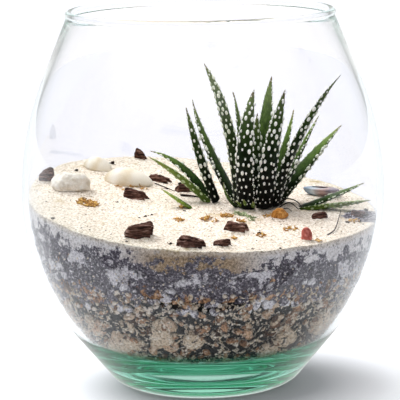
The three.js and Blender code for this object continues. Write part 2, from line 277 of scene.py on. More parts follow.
def tinted(tree, under, tones, share):
    """Colour of a stuff whose bits each have their own tone, picked by the mesh's tint."""
    tint = add_node(tree, "ShaderNodeAttribute", attribute_name="tint").outputs["Fac"]
    own = add_node(tree, "ShaderNodeValToRGB", {"Fac": tint}, ramp=tones)
    return add_node(tree, "ShaderNodeMix", {0: share, 6: under, 7: own},
                    data_type="RGBA", blend_type="MULTIPLY").outputs[2]


def patches(tree, place, size, start, softness, by=None, gain=0.0):
    """Mask of ragged patches about size mm across; an attribute of the mesh can spread or shrink them."""
    value = add_node(tree, "ShaderNodeTexNoise",
                     {"Vector": place, "Scale": grain(size), "Detail": 6.0, "Roughness": 0.66})
    if by:
        share = add_node(tree, "ShaderNodeAttribute", attribute_name=by).outputs["Fac"]
        value = add_node(tree, "ShaderNodeMath", {0: share, 1: gain, 2: value}, operation="MULTIPLY_ADD")
    return add_node(tree, "ShaderNodeMapRange",
                    {"Value": value, "From Min": start, "From Max": start + softness},
                    interpolation_type="SMOOTHSTEP")


def by_distance(tree, place, centre, start, end, first=0.0, last=1.0, interpolation="LINEAR"):
    """A number that changes from first to last between two distances from a point, all in mm."""
    away = add_node(tree, "ShaderNodeVectorMath", {0: place, 1: Vector(centre) * MM}, operation="DISTANCE")
    return add_node(tree, "ShaderNodeMapRange",
                    {"Value": away.outputs["Value"], "From Min": start * MM, "From Max": end * MM,
                     "To Min": first, "To Max": last}, interpolation_type=interpolation)


def relief(tree, place, size, depth, strength=0.8, detail=3.0):
    """Bump of lumps that have a size and a depth in mm."""
    lumps = add_node(tree, "ShaderNodeTexNoise", {"Vector": place, "Scale": grain(size), "Detail": detail})
    return add_node(tree, "ShaderNodeBump", {"Height": lumps, "Strength": strength, "Distance": depth * MM})


def surfaced(tree, colour, finish, bump=None):
    """Ends a material in its surface: colour, the settings of its finish, and a bump if it has one."""
    normal = {"Normal": bump} if bump else {}
    surface = add_node(tree, "ShaderNodeBsdfPrincipled", {"Base Color": colour, **finish, **normal})
    add_node(tree, "ShaderNodeOutputMaterial", {"Surface": surface})


DUSTY = {"Roughness": 0.95, "Specular IOR Level": 0.05}
# Tones of the dark soil, of the pale sand in it, of the bark's dust, and of the painted shade in its
# hollows
SOIL_TONES = [(0.34, "#29262C"), (0.46, "#4C4751"), (0.57, "#79737F"), (0.66, "#F8F4F5")]
PALE_GRIT = [(0.34, "#8A858C"), (0.46, "#D5D0D5"), (0.56, "#FAF8FA"), (0.66, "#FFFFFF")]
BARK_CRUMBS = [(0.34, "#3A281D"), (0.46, "#8C6446"), (0.57, "#CF9F74"), (0.68, "#F4DDB8")]
BARK_DUST = [(0.34, "#857868"), (0.46, "#CDBDA6"), (0.56, "#FAF0DE"), (0.66, "#FFFFFA")]
BARK_HOLLOW_SHADE = [(0.34, "#16120F"), (0.50, "#362B24"), (0.66, "#6A5848")]
BIT_GRAIN = [(0.34, "#5E5146"), (0.42, "#BFAE9B"), (0.52, "#F3E8D8"), (0.64, "#FFFFFF")]
BIT_TONES = [(0.0, "#120E0C"), (0.2, "#6E503A"), (0.45, "#DBAE88"), (0.65, "#EADFCF"),
             (0.85, "#FBF0DC"), (1.0, "#FFFBEE")]
# Tones of the sand: dry, stained with ochre, pressed against the glass, and in painted shade there
DRY_SAND = [(0.34, "#94826E"), (0.44, "#DCCCBA"), (0.54, "#F5EADC"), (0.66, "#FFFBF5")]
OCHRE_SAND = [(0.30, "#8F7A5C"), (0.50, "#C9B48F"), (0.70, "#EADDC2")]
PRESSED_SAND = [(0.32, "#8E8888"), (0.44, "#DAD4D3"), (0.55, "#F8F4F4"), (0.66, "#FFFFFF")]
SAND_SIDE_SHADE = [(0.32, "#55432F"), (0.45, "#967D60"), (0.57, "#C4A988"), (0.70, "#F2E2CA")]
# Tones of a leaf from root to tip, nearly black at the root with painted shade: a shaded one, one in
# painted light, and one that has just come up
SHADED_LEAF = [(0.0, "#020302"), (0.28, "#070B06"), (0.5, "#16260E"), (0.72, "#31461B"),
             (0.90, "#50622B"), (0.97, "#63553B")]
LIT_LEAF = [(0.0, "#10200D"), (0.3, "#2C451B"), (0.7, "#5A7434"), (0.9, "#7F934E"),
              (0.95, "#857750"), (0.99, "#80674F")]
YOUNG_LEAF = [(0.0, "#5C7A2C"), (0.5, "#8DA848"), (0.85, "#B4C268"), (0.97, "#B59B55")]
# Green of the glass by height, up to its colourless wall: dark where the foot is thick
GLASS_TONES = [(0.0, "#FAFFFD"), (0.11, "#F0FCF6"), (0.2, "#DDF2E9"), (0.3, "#86B5A5"),
               (0.42, "#A3D0C1"), (0.58, "#7CA99A"), (0.78, "#FFFCFE")]
GREEN_HEIGHT = 30
# Sand is about 0.4 mm, too fine to show here, so its grains are drawn coarser. Peat shows at its own size
SAND_GRAIN = 0.9
PEAT_GRAIN = 1.0


def mottled(name, tones, size, roughness, lumps, own_tones=None):
    """A rough natural stuff: tones spread by a noise of a real size, with a bump of its own size.

    Lumps are the size, depth and strength of the bump. Own tones are spread by the piece's tint.
    """
    material, tree, place = new_material(name)
    colour = speckled(tree, place, tones, size, 5.0, 0.65)
    if own_tones:
        colour = tinted(tree, colour, own_tones, 0.75)
    surfaced(tree, colour, {"Roughness": roughness, "Specular IOR Level": 0.3}, relief(tree, place, *lumps))
    return material


def clear_glass(settings):
    # Soda-lime glass, blown: perfectly smooth, and green only where light goes a long way through it
    material, tree, place = new_material("Blown soda-lime glass")
    height = add_node(tree, "ShaderNodeSeparateXYZ", {"Vector": place}).outputs["Z"]
    share = add_node(tree, "ShaderNodeMath", {0: height, 1: 1 / (GREEN_HEIGHT * MM)}, operation="MULTIPLY")
    green = add_node(tree, "ShaderNodeValToRGB", {"Fac": share}, ramp=GLASS_TONES)
    glass = add_node(tree, "ShaderNodeBsdfPrincipled",
                     {"Base Color": green, "Roughness": 0.0, "IOR": 1.5, "Transmission Weight": 1.0})
    tint = add_node(tree, "ShaderNodeVolumeAbsorption",
                    {"Color": (*settings.tint, 1.0), "Density": settings.tint_density})
    # Its shadow is only a little darker than the light round it
    shadow = add_node(tree, "ShaderNodeLightPath").outputs["Is Shadow Ray"]
    clear = add_node(tree, "ShaderNodeBsdfTransparent", {"Color": (0.98, 0.98, 0.98, 1)})
    surface = add_node(tree, "ShaderNodeMixShader", {0: shadow, 1: glass, 2: clear})
    add_node(tree, "ShaderNodeOutputMaterial", {"Surface": surface, "Volume": tint})
    return material


def sand_finish():
    # Dry quartz sand: matt and pale on top; against the glass it is greyer, darker low in front with
    # painted shade, and soiled from below
    material, tree, place = new_material("Dry quartz sand")
    top = speckled(tree, place, DRY_SAND, SAND_GRAIN)
    top = strewn_over(tree, place, top, patches(tree, place, 11, 0.56, 0.14), OCHRE_SAND, 1.0)
    # Soil was spilt on the sand at the right-hand wall
    near_spill = by_distance(tree, place, (66, -12, 71), 16, 4)
    ragged = add_node(tree, "ShaderNodeTexNoise",
                      {"Vector": place, "Scale": grain(4), "Detail": 6.0, "Roughness": 0.7})
    spill = add_node(tree, "ShaderNodeMath", {0: ragged, 1: near_spill}, operation="MULTIPLY")
    spilt = add_node(tree, "ShaderNodeMapRange", {"Value": spill, "From Min": 0.24, "From Max": 0.32})
    top = strewn_over(tree, place, top, spilt, SOIL_TONES, PEAT_GRAIN)
    # Painted shade: the side against the glass is darkest low in front, a little left of the middle
    side_shade = by_distance(tree, place, (-4, -72, 64), 34, 12, interpolation="SMOOTHSTEP")
    beside = speckled(tree, place, PRESSED_SAND, SAND_GRAIN)
    beside = strewn_over(tree, place, beside, side_shade, SAND_SIDE_SHADE, SAND_GRAIN)
    soiled = patches(tree, place, 5, 0.60, 0.04, by="low", gain=0.20)
    beside = strewn_over(tree, place, beside, soiled, SOIL_TONES, PEAT_GRAIN)
    low = add_node(tree, "ShaderNodeAttribute", attribute_name="low").outputs["Fac"]
    side = add_node(tree, "ShaderNodeMapRange", {"Value": low, "From Min": 0.0, "From Max": 0.3})
    shown = add_node(tree, "ShaderNodeMix", {0: side, 6: top, 7: beside}, data_type="RGBA").outputs[2]
    surfaced(tree, shown, DUSTY, relief(tree, place, 0.8, 0.45))
    return material


def soil_finish():
    # Peat with grit: near black and crumbly, with sand run down into it and bark crumbs from below
    material, tree, place = new_material("Crumbly peat and grit")
    shown = speckled(tree, place, SOIL_TONES, PEAT_GRAIN)
    from_below = patches(tree, place, 5, 0.70, 0.04, by="low", gain=0.20)
    shown = strewn_over(tree, place, shown, from_below, BARK_CRUMBS, 1.3)
    run_down = patches(tree, place, 9, 0.48, 0.05, by="low", gain=-0.12)
    shown = strewn_over(tree, place, shown, run_down, PALE_GRIT, SAND_GRAIN)
    surfaced(tree, shown, DUSTY, relief(tree, place, 1.4, 0.9))
    return material


def chip_fill_finish():
    # Bark fibre and pebbles: browns, tans and greys with painted shade in dark hollows, each piece in its
    # own tone
    material, tree, place = new_material("Bark fibre and pebbles")
    shown = tinted(tree, speckled(tree, place, BIT_GRAIN, 0.9), BIT_TONES, 1.0)
    shown = strewn_over(tree, place, shown, patches(tree, place, 2.2, 0.535, 0.03), BARK_DUST, 0.9)
    # Painted shade: dark patches for the hollows between the bits, which the fill's fine stuff leaves open
    shown = strewn_over(tree, place, shown, patches(tree, place, 3.2, 0.59, 0.04), BARK_HOLLOW_SHADE, 0.9)
    surfaced(tree, shown, DUSTY, relief(tree, place, 1.0, 0.5))
    return material


def leaf_finish():
    # Waxy haworthia skin: dark green, nearly black at the foot with painted shade, lighter to the tip,
    # which is dry
    material, tree, place = new_material("Waxy haworthia leaf")
    along, pale, inner = (add_node(tree, "ShaderNodeAttribute", attribute_name=name).outputs["Fac"]
                          for name in ("along", "tint", "inner"))
    streaks = add_node(tree, "ShaderNodeTexNoise",
                       {"Vector": place, "Scale": grain(4), "Detail": 4.0, "Roughness": 0.6})
    uneven = add_node(tree, "ShaderNodeMath", {0: streaks, 1: 0.22, 2: -0.11}, operation="MULTIPLY_ADD")
    position = add_node(tree, "ShaderNodeMath", {0: along, 1: uneven}, operation="ADD")
    dark, light, young = (add_node(tree, "ShaderNodeValToRGB", {"Fac": position}, ramp=tones)
                          for tones in (SHADED_LEAF, LIT_LEAF, YOUNG_LEAF))
    youth = add_node(tree, "ShaderNodeMapRange", {"Value": pale, "From Min": 0.75, "From Max": 1.0})
    # The inner face takes the lit tones, with fine streaks along the leaf: its own paler skin and painted
    # light
    drawn = add_node(tree, "ShaderNodeMapping", {"Vector": place, "Scale": (1.0, 1.0, 0.2)})
    lines = add_node(tree, "ShaderNodeTexNoise",
                     {"Vector": drawn, "Scale": grain(0.9), "Detail": 3.0, "Roughness": 0.6})
    paler = add_node(tree, "ShaderNodeMapRange",
                     {"Value": lines, "From Min": 0.4, "From Max": 0.62, "To Min": 0.25, "To Max": 1.0})
    inside = add_node(tree, "ShaderNodeMath", {0: inner, 1: paler}, operation="MULTIPLY")
    # Each leaf is mixed from the shaded to the lit tones by its share of painted light, and young leaves
    # take their own
    shown = dark
    for share, tone in ((pale, light), (youth, young), (inside, light)):
        shown = add_node(tree, "ShaderNodeMix", {0: share, 6: shown, 7: tone}, data_type="RGBA").outputs[2]
    # Wax, with a little light let through the flesh. Its cells are too fine to show and are drawn 0.9 mm
    wax = {"Roughness": 0.42, "Subsurface Weight": 0.03, "Subsurface Radius": (0.8, 1.0, 0.4),
           "Subsurface Scale": 1.5 * MM, "Specular IOR Level": 0.08}
    surfaced(tree, shown, wax, relief(tree, place, 0.9, 0.25, strength=0.25, detail=2.0))
    return material


def tubercle_finish():
    # The white bumps are air-filled skin: pearly and a little translucent, greener on leaves with more
    # painted light, and greenest on young ones
    material, tree, place = new_material("Pearly tubercle")
    tint = add_node(tree, "ShaderNodeAttribute", attribute_name="tint").outputs["Fac"]
    colour = add_node(tree, "ShaderNodeValToRGB", {"Fac": tint},
                      ramp=[(0.0, "#FFFFFA"), (0.5, "#E2EACB"), (1.0, "#A9BF86")])
    shade = speckled(tree, place, [(0.30, "#D8DCC8"), (0.50, "#FFFFFF")], 0.7, 2.0, 0.5)
    shown = add_node(tree, "ShaderNodeMix", {0: 0.5, 6: colour, 7: shade},
                     data_type="RGBA", blend_type="MULTIPLY")
    surfaced(tree, shown.outputs[2], {"Roughness": 0.5, "Subsurface Weight": 0.15,
                                      "Subsurface Radius": (1.0, 1.0, 0.7), "Subsurface Scale": 0.8 * MM})
    return material


def bark_finish():
    # Pine bark: layered plates, dark red-brown outside and paler where they broke
    material, tree, place = new_material("Layered pine bark")
    stretch = add_node(tree, "ShaderNodeMapping", {"Vector": place, "Scale": (0.35, 1.0, 3.0)})
    layers = add_node(tree, "ShaderNodeTexNoise",
                      {"Vector": stretch, "Scale": grain(2.4), "Detail": 5.0, "Roughness": 0.7})
    colour = add_node(tree, "ShaderNodeValToRGB", {"Fac": layers},
                      ramp=[(0.34, "#140A08"), (0.45, "#3D2720"), (0.55, "#6D4D42"), (0.67, "#B8988C")])
    bump = add_node(tree, "ShaderNodeBump", {"Height": layers, "Strength": 0.7, "Distance": 0.6 * MM})
    surfaced(tree, colour, {"Roughness": 0.75, "Specular IOR Level": 0.1}, bump)
    return material


def shell_finish(name, tones, roughness):
    # Sea shell: growth rings one after another from the beak, smooth and a little glossy
    material, tree, place = new_material(name)
    ring = add_node(tree, "ShaderNodeAttribute", attribute_name="ring").outputs["Fac"]
    waver = add_node(tree, "ShaderNodeTexNoise", {"Vector": place, "Scale": grain(5), "Detail": 3.0})
    shifted = add_node(tree, "ShaderNodeMath", {0: waver, 1: 0.35, 2: ring}, operation="MULTIPLY_ADD")
    colour = add_node(tree, "ShaderNodeValToRGB", {"Fac": shifted}, ramp=tones)
    surfaced(tree, colour, {"Roughness": roughness, "Coat Weight": 0.2})
    return material


def table_finish(settings):
    # Opal acrylic, lit from below as on a product table: matt and bright
    material, tree, place = new_material("Opal acrylic table")
    # Painted shadow: the table's glow is turned down round the foot, where the bowl shades it
    painted_shadow = by_distance(tree, place, (12, -5, 0), 36, 68, 0.08, settings.floor_glow)
    # A painted pool of light under the hollow foot stands for the light that the thick foot gathers there;
    # the green glass shows it as a bright spot
    painted_pool = by_distance(tree, place, (0, 0, 0), 29, 33, 1.0, 0.0)
    # Painted light: the glow is brightest round the bowl and falls off further away
    painted_falloff = by_distance(tree, place, (0, 0, 0), 120, 500, 1.0, 0.13)
    glow = add_node(tree, "ShaderNodeMath", {0: painted_shadow, 1: painted_falloff, 2: painted_pool},
                    operation="MULTIPLY_ADD")
    lit = add_node(tree, "ShaderNodeBsdfPrincipled",
                   {"Base Color": (*settings.floor_colour, 1.0), "Roughness": 0.8,
                    "Specular IOR Level": 0.2, "Emission Color": (1, 1, 1, 1), "Emission Strength": glow})
    # The near part of the table is black to rays that the inside of the glass mirrored
    forward = add_node(tree, "ShaderNodeSeparateXYZ", {"Vector": place}).outputs["Y"]
    near = add_node(tree, "ShaderNodeMath", {0: forward, 1: -90 * MM}, operation="LESS_THAN")
    depth = add_node(tree, "ShaderNodeLightPath").outputs["Glossy Depth"]
    mirrored = add_node(tree, "ShaderNodeMath", {0: depth, 1: 0.5}, operation="GREATER_THAN")
    hidden = add_node(tree, "ShaderNodeMath", {0: near, 1: mirrored}, operation="MULTIPLY")
    black = add_node(tree, "ShaderNodeEmission", {"Color": (0, 0, 0, 1), "Strength": 0.0})
    shown = add_node(tree, "ShaderNodeMixShader", {0: hidden, 1: lit, 2: black})
    add_node(tree, "ShaderNodeOutputMaterial", {"Surface": shown})
    return material


# Shapes of the bowl and its layers, in mm

def arc_point(arc, angle):
    turn = math.radians(angle)
    return arc[0] + arc[1] * math.cos(turn), arc[2] + arc[1] * math.sin(turn)


def arc_points(arc, start, end, steps):
    return [arc_point(arc, start + (end - start) * i / steps) for i in range(steps + 1)]


INNER_LOWER = (LOWER_ARC[0], LOWER_ARC[1] - WALL, LOWER_ARC[2])
INNER_UPPER = (UPPER_ARC[0], UPPER_ARC[1] - WALL, UPPER_ARC[2])
CORNER_HEIGHT = FLOOR_HEIGHT + CORNER_RADIUS
CORNER_REACH = INNER_LOWER[1] - CORNER_RADIUS
CORNER_ANGLE = math.degrees(math.asin((CORNER_HEIGHT - INNER_LOWER[2]) / CORNER_REACH))
CORNER_CENTRE = INNER_LOWER[0] + CORNER_REACH * math.cos(math.radians(CORNER_ANGLE))
CORNER = (CORNER_CENTRE, CORNER_RADIUS, CORNER_HEIGHT)
CORNER_TOP = arc_point(INNER_LOWER, CORNER_ANGLE)[1]


def inner_radius(height, clearance=GAP):
    """Radius of the inside of the wall at a height, less a clearance."""
    arc = INNER_UPPER if height > INNER_UPPER[2] else INNER_LOWER if height > CORNER_TOP else CORNER
    reach = arc[1] - clearance
    return arc[0] + math.sqrt(max(0.0, reach * reach - (height - arc[2]) ** 2))


def bowl_profile():
    """Half section of the bowl, from the middle of the foot, over the lip, to the middle of the floor."""
    flare_top = arc_point(LOWER_ARC, -FLARE_ANGLE)
    flare_foot = flare_top[0] - flare_top[1] * math.tan(math.radians(FLARE_ANGLE))
    heel_radius = (flare_foot - FOOT_RADIUS) / math.tan(math.radians((90 - FLARE_ANGLE) / 2))
    shares = [step / PUNT_STEPS for step in range(PUNT_STEPS + 1)]
    return (
        [(PUNT_RADIUS * share, PUNT_DEPTH * (1 - share ** 2)) for share in shares]
        + arc_points((FOOT_RADIUS, heel_radius, heel_radius), -90, -FLARE_ANGLE, 10)
        + arc_points(LOWER_ARC, -FLARE_ANGLE, 0, 16)
        + arc_points(UPPER_ARC, 0, NECK_ANGLE, 10)[1:]
        + arc_points(LIP_ARC, -45, 225, 16)
        + arc_points(INNER_UPPER, NECK_ANGLE, 0, 10)
        + arc_points(INNER_LOWER, 0, CORNER_ANGLE, 14)[1:]
        + arc_points(CORNER, CORNER_ANGLE, -90, 16)[1:]
        + [(CORNER[0] * 0.5, FLOOR_HEIGHT), (0.0, FLOOR_HEIGHT)]
    )


def sand_height(x, y):
    u, v = x / SAND_SPAN, y / SAND_SPAN
    slope = SAND_SLOPE[0] * u + SAND_SLOPE[1] * v
    return SAND_LEVEL + slope + SAND_TWIST * u * v + SAND_BOW * (u * u - v * v)


def waves(x, y, *rings):
    """Height of waves round the bowl that die out to its middle: their heights, counts and phases."""
    out, angle = min(1.0, math.hypot(x, y) / SAND_SPAN), math.atan2(y, x)
    return out * sum(height * math.sin(count * angle + phase) for height, count, phase in rings)


def soil_height(x, y):
    out = min(1.0, math.hypot(x, y) / SAND_SPAN)
    depth = SAND_DEEP + (SAND_THIN - SAND_DEEP) * out
    return sand_height(x, y) - depth + waves(x, y, (1.1, 5, 1), (0.7, 11, 0))


def drainage_height(x, y):
    return DRAINAGE_LEVEL + waves(x, y, (2, 4, 2), (1.2, 9, 0))


def edge_height(surface, angle):
    """Height at which a surface meets the wall in one direction round the bowl."""
    height = surface(0, 0)
    for _ in range(10):
        reach = inner_radius(height)
        height = surface(reach * math.cos(angle), reach * math.sin(angle))
    return height


def up_sphere(z):
    """How far up a sphere of radius 1 a point lies, along its side: 0 at its foot and 1 at its top."""
    return 1 - math.acos(clamp(z, -1.0, 1.0)) / math.pi


def fill_layer(name, lower, upper, around, rings, top_share, press):
    """A layer that fills the bowl between two surfaces.

    It starts as a sphere: its rings become the underside, the side against the glass and the top.
    Press says how far the side stands back from the glass, by angle and height. The attribute low
    says how low in the layer a point lies, from 0 to 1.
    """
    layer = start_ball(name, around, rings)
    edges, lows = {}, []

    def rule(point):
        angle, t = math.atan2(point.y, point.x), up_sphere(point.z)
        key = round(angle, 5)
        if key not in edges:
            edges[key] = (edge_height(lower, angle), edge_height(upper, angle))
        low, high = edges[key]
        part = clamp((t - UNDERSIDE_SHARE) / (1 - top_share - UNDERSIDE_SHARE))
        lows.append(1 - part)
        height = low + (high - low) * part
        reach = inner_radius(height) - press(angle, height)
        if UNDERSIDE_SHARE <= t <= 1 - top_share:
            return reach * math.cos(angle), reach * math.sin(angle), height
        under = t < UNDERSIDE_SHARE
        share, surface = (t / UNDERSIDE_SHARE, lower) if under else ((1 - t) / top_share, upper)
        x, y = reach * share * math.cos(angle), reach * share * math.sin(angle)
        return x, y, surface(x, y)

    shape(layer, rule)
    set_value(layer.data, "low", lows)
    mend_seams(layer)
    return layer


def solid_noise(x, y, z, size, seed=0.0):
    """Smooth noise from about -1 to 1, whose lumps are size mm across."""
    return noise.noise(Vector((x / size + seed, y / size - seed, z / size + 2 * seed)))


# Height, size and seed of the noises that rough up each surface, in mm
SAND_DUNES = ((0.55, 17, 0.0), (0.35, 6, 3.1))
SAND_DENTS = ((0.28, 2.0, 7.7), (0.15, 0.9, 4.4))
SAND_FINGERS = ((4.0, 9, 1.3),)
SAND_FRINGE = ((1.2, 2.5, 5.3),)
SOIL_CRUMBS = ((0.6, 5, 0.0), (0.3, 2, 2.2))
# How far the side of a layer stands back from the glass, and the radius at which its noise is read
SOIL_STAND_BACK, SOIL_RING = 0.9, 60
BARK_STAND_BACK = 2.6
SAND_RING = 70


def unevenness(x, y, z, noises):
    return sum(height * solid_noise(x, y, z, size, seed) for height, size, seed in noises)


def wall_unevenness(angle, height, radius, noises):
    return unevenness(radius * math.cos(angle), radius * math.sin(angle), height, noises)


# Pieces of the fill

def rough_bit(name, detail, lumps):
    """A lumpy bit about 1 m across, to be copied small."""
    bit = start_piece(bpy.ops.mesh.primitive_ico_sphere_add, name, subdivisions=detail, radius=0.5)
    for vertex in bit.data.vertices:
        lump = solid_noise(*vertex.co, 0.6, seed=detail) + 0.6 * solid_noise(*vertex.co, 0.22, seed=2.3)
        vertex.co *= 1 + lumps * lump
    smooth(bit)
    return bit


def fibre_bit(name):
    """A thin bent fibre about 1 m long, to be copied small: it lies along Y."""
    fibre = start_ball(name, 6, 9, 0.5)
    for vertex in fibre.data.vertices:
        x, y, z = vertex.co
        vertex.co = Vector((0.13 * x, z, 0.13 * y + 0.35 * z * z + 0.6 * z ** 3))
    smooth(fibre)
    return fibre


def against_glass(rng, heights, sizes, form, sunk):
    """Place of a bit that lies against the glass, turned at random.

    Heights and sizes are ranges in mm, form is its depth, length and height for a size of 1, and
    sunk is how far its middle lies behind the face of the layer.
    """
    angle = rng.uniform(0, FULL_TURN)
    height = rng.uniform(*heights)
    size = rng.uniform(*sizes) * MM
    reach = inner_radius(height) - sunk
    lean = math.atan2(inner_radius(height + 1) - inner_radius(height - 1), 2)
    outward = Matrix.Rotation(angle, 4, "Z") @ Matrix.Rotation(lean, 4, "Y")
    roll = Matrix.Rotation(rng.uniform(-1.5, 1.5), 4, "X")
    longer = rng.uniform(0.8, 1.25)
    scale = Matrix.Diagonal((form[0] * size, form[1] * size * longer, form[2] * size, 1))
    move = Matrix.Translation(Vector((reach * math.cos(angle), reach * math.sin(angle), height)) * MM)
    return move @ outward @ roll @ scale


def packed_bits(rng, kinds):
    """Bits that lie against the glass, one piece for each kind."""
    pieces = []
    for name, model, finish, count, tints, *lie in kinds:
        model.data.materials.append(finish)
        places = [(against_glass(rng, *lie), rng.uniform(*tints)) for _ in range(count)]
        pieces.append(strew(model, places, name))
    return pieces


def keep_off_glass(obj, clearance=GAP):
    """Flattens whatever reaches past the glass against it."""
    for vertex in obj.data.vertices:
        x, y, z = vertex.co / MM
        height = max(FLOOR_HEIGHT + clearance, z)
        reach = math.hypot(x, y)
        limit = inner_radius(height, clearance)
        if reach > limit:
            x, y = x * limit / reach, y * limit / reach
        vertex.co = Vector((x, y, height)) * MM


# Haworthia leaves: root, middle and tip in mm, width near the root, taper, and how much painted light the
# leaf takes, which from 0.75 up also makes it young

CROWNS = {
    "haworthia_rosette": {
        "place": (21.5, -2.0), "radius": 8.5, "rise": 3.0, "depth": 9.0,
        "leaves": [
            ((15.5, -5), (11.5, -8, 107.5), (1, -6, 136), 7.6, 5, 0.3),
            ((18, 3.5), (16, 7, 103), (13, 12, 120.5), 4.8, 2, 0.1),
            ((18, -8), (17.5, -15, 99.5), (21.5, -11, 124), 7.8, 4, 0.0),
            ((22.5, -3.5), (22, -1, 95), (23, 1, 112.5), 7.2, 3, 0.15),
            ((19.5, -0.5), (19.5, 1, 95), (18, 4, 112), 6.2, 2.5, 0.2),
            ((23, 3.5), (26, 9, 102.5), (29.5, 17, 127), 7.2, 3, 0.1),
            ((25, -8), (28, -14, 99.5), (34, -14, 124), 8.2, 3.2, 0.0),
            ((26, 3), (34, 11, 95.5), (39, 22, 111), 5.4, 2, 0.2),
            ((28.5, -5), (38.5, -9, 103), (56.5, -12, 129.5), 7.8, 2.8, 0.05),
            ((29, 0), (40.5, 3, 96.5), (49, 7, 110.5), 5.6, 2.6, 0.1),
            ((28.5, 2.5), (46, 10, 93), (59.5, 20, 104.5), 9.0, 2.2, 0.25),
            ((15, 1), (2.5, 9, 98.5), (-4, 14, 117), 7, 2.6, 0.1),
            ((14.5, -6.5), (10, -12, 80), (8.5, -14, 86), 2.6, 2.5, 0.7),
            ((16.5, -8), (14.5, -11.5, 77), (13, -13.5, 78), 2.4, 2, 0.8),
            ((18, -8.5), (17, -13, 77.5), (16.5, -15, 79), 2.6, 2, 0.8),
            ((20, -9), (20.5, -13.5, 77), (20.5, -15.5, 78), 2.4, 2, 0.8),
        ],
    },
    "haworthia_pup_left": {
        "place": (4.5, -1.0), "radius": 3.4, "rise": 2.5, "depth": 7.0,
        "leaves": [
            ((5.5, -2), (-1, -5, 94.5), (-6.5, -8, 116.5), 4.8, 3.4, 0.15),
            ((3.5, 0.5), (-8.5, 4, 90), (-22, 6, 96.5), 4.4, 2.8, 0.1),
            ((3, -2), (-9.5, -3, 87.5), (-22.5, -3, 95.5), 5.2, 3.4, 0.85),
        ],
    },
    "haworthia_pup_right": {
        "place": (38.5, -3.5), "radius": 2.6, "rise": 2.2, "depth": 6.0,
        "leaves": [
            ((39, -3), (54, 1, 77.5), (68, 5, 82), 4.4, 3, 0.3),
            ((39, -4.5), (55, -5, 75), (69.5, -7, 76.5), 5.0, 3.4, 0.85),
        ],
    },
    "young_leaf": {
        "place": (-4.0, -12.0), "radius": 1.0, "rise": 1.6, "depth": 5.0,
        "leaves": [((-4.2, -12), (-10.5, -13, 79.5), (-17.5, -14, 84), 3.6, 3, 1.0)],
    },
}
ROOT_RISE = 0.2
# How far round a leaf its deep outer face reaches, and how deep the faces are for a width of 1
OUTER_SHARE = 0.72
OUTER_DEPTH = 0.36
INNER_DEPTH = 0.09
THINNEST = 0.7
LINE_STEPS = 100
LAST_BUMP, LAST_TURN = 0.985, 0.71
BUMP_HEIGHT = 1.25
# First band of bumps on a long leaf and on a short one, and where the last may be, in mm from root and tip
FIRST_BAND, FIRST_BAND_SHORT, LAST_BAND = 3.4, 2.0, 1.2
SHORT_LEAF = 20
# Length round the outer face for a width of 1, and how far a bump strays, round and along the leaf
ROUND_FACE = 1.37
STRAY_TURN, STRAY_ALONG = 0.07, 0.7


class LeafLine:
    """The curve that a leaf follows from root to tip, measured along its length."""

    def __init__(self, leaf, crown):
        root, middle, tip, self.width, self.taper, self.pale = leaf
        x, y = crown["place"]
        self.root = Vector((root[0], root[1], sand_height(x, y) + ROOT_RISE))
        self.tip = Vector(tip)
        self.control = 2 * Vector(middle) - (self.root + self.tip) / 2
        self.level = Vector((0, 0, 1)).cross(Vector((root[0] - x, root[1] - y, 0)).normalized())
        self.lengths = [0.0]
        last = self.root
        for step in range(1, LINE_STEPS + 1):
            point = self.at(step / LINE_STEPS)
            self.lengths.append(self.lengths[-1] + (point - last).length)
            last = point
        self.length = self.lengths[-1]

    def at(self, u):
        return (1 - u) ** 2 * self.root + 2 * u * (1 - u) * self.control + u * u * self.tip

    def frame_at(self, t):
        """Middle, width direction and outward direction at a share of the length."""
        goal = t * self.length
        step = 0
        while step < LINE_STEPS - 1 and self.lengths[step + 1] < goal:
            step += 1
        span = self.lengths[step + 1] - self.lengths[step]
        u = (step + (goal - self.lengths[step]) / span) / LINE_STEPS
        along = (2 * (1 - u) * (self.control - self.root) + 2 * u * (self.tip - self.control)).normalized()
        side = (self.level - along * self.level.dot(along)).normalized()
        return self.at(u), along, side, side.cross(along)

    def width_at(self, t):
        return max(THINNEST, self.width * (1 - t ** self.taper))

    def surface(self, t, turn):
        """Point on the skin: turn 0 is the middle of the outer face, and 1 of the inner one."""
        centre, _, side, out = self.frame_at(t)
        width = self.width_at(t)
        part = abs(turn) / OUTER_SHARE
        if part <= 1:
            across = math.copysign(math.sin(part * math.pi / 2), turn)
            deep = OUTER_DEPTH * math.cos(part * math.pi / 2)
        else:
            inward = (abs(turn) - OUTER_SHARE) / (1 - OUTER_SHARE)
            across = math.copysign(1 - inward, turn)
            deep = -INNER_DEPTH * math.sin(inward * math.pi / 2)
        return centre + side * (across * width / 2) + out * (deep * width)


def leaf_body(line, skin):
    """A leaf is a sphere drawn out along its line, with a deep outer face and a flat inner one."""
    rings = max(16, round(line.length * 0.9))
    body = start_ball("leaf", 24, rings)
    along, inner = [], []
    for vertex in body.data.vertices:
        x, y, z = vertex.co
        t = up_sphere(z)
        at_end = math.hypot(x, y) < 0.001
        turn = 0 if at_end else math.atan2(x, -y) / math.pi
        centre = line.frame_at(t)[0]
        point = centre if at_end else line.surface(t, turn)
        swell = 1 + 0.02 * math.sin(line.length * t * 1.7)
        vertex.co = (centre + (point - centre) * swell) * MM
        along.append(t)
        # The inner face takes the lit tones all over, and the outer one near its margins: painted light,
        # over the inner face's own paler skin
        near_margin = clamp((abs(turn) - 0.35) / (OUTER_SHARE - 0.35))
        inner.append(1.0 if abs(turn) > OUTER_SHARE + 0.05 else 0.6 * near_margin ** 2)
    for name, value in (("along", along), ("inner", inner), ("tint", line.pale)):
        set_value(body.data, name, value)
    mesh_edit(body, (bpy.ops.mesh.normals_make_consistent, {"inside": False}))
    smooth(body)
    body.data.materials.append(skin)
    return body


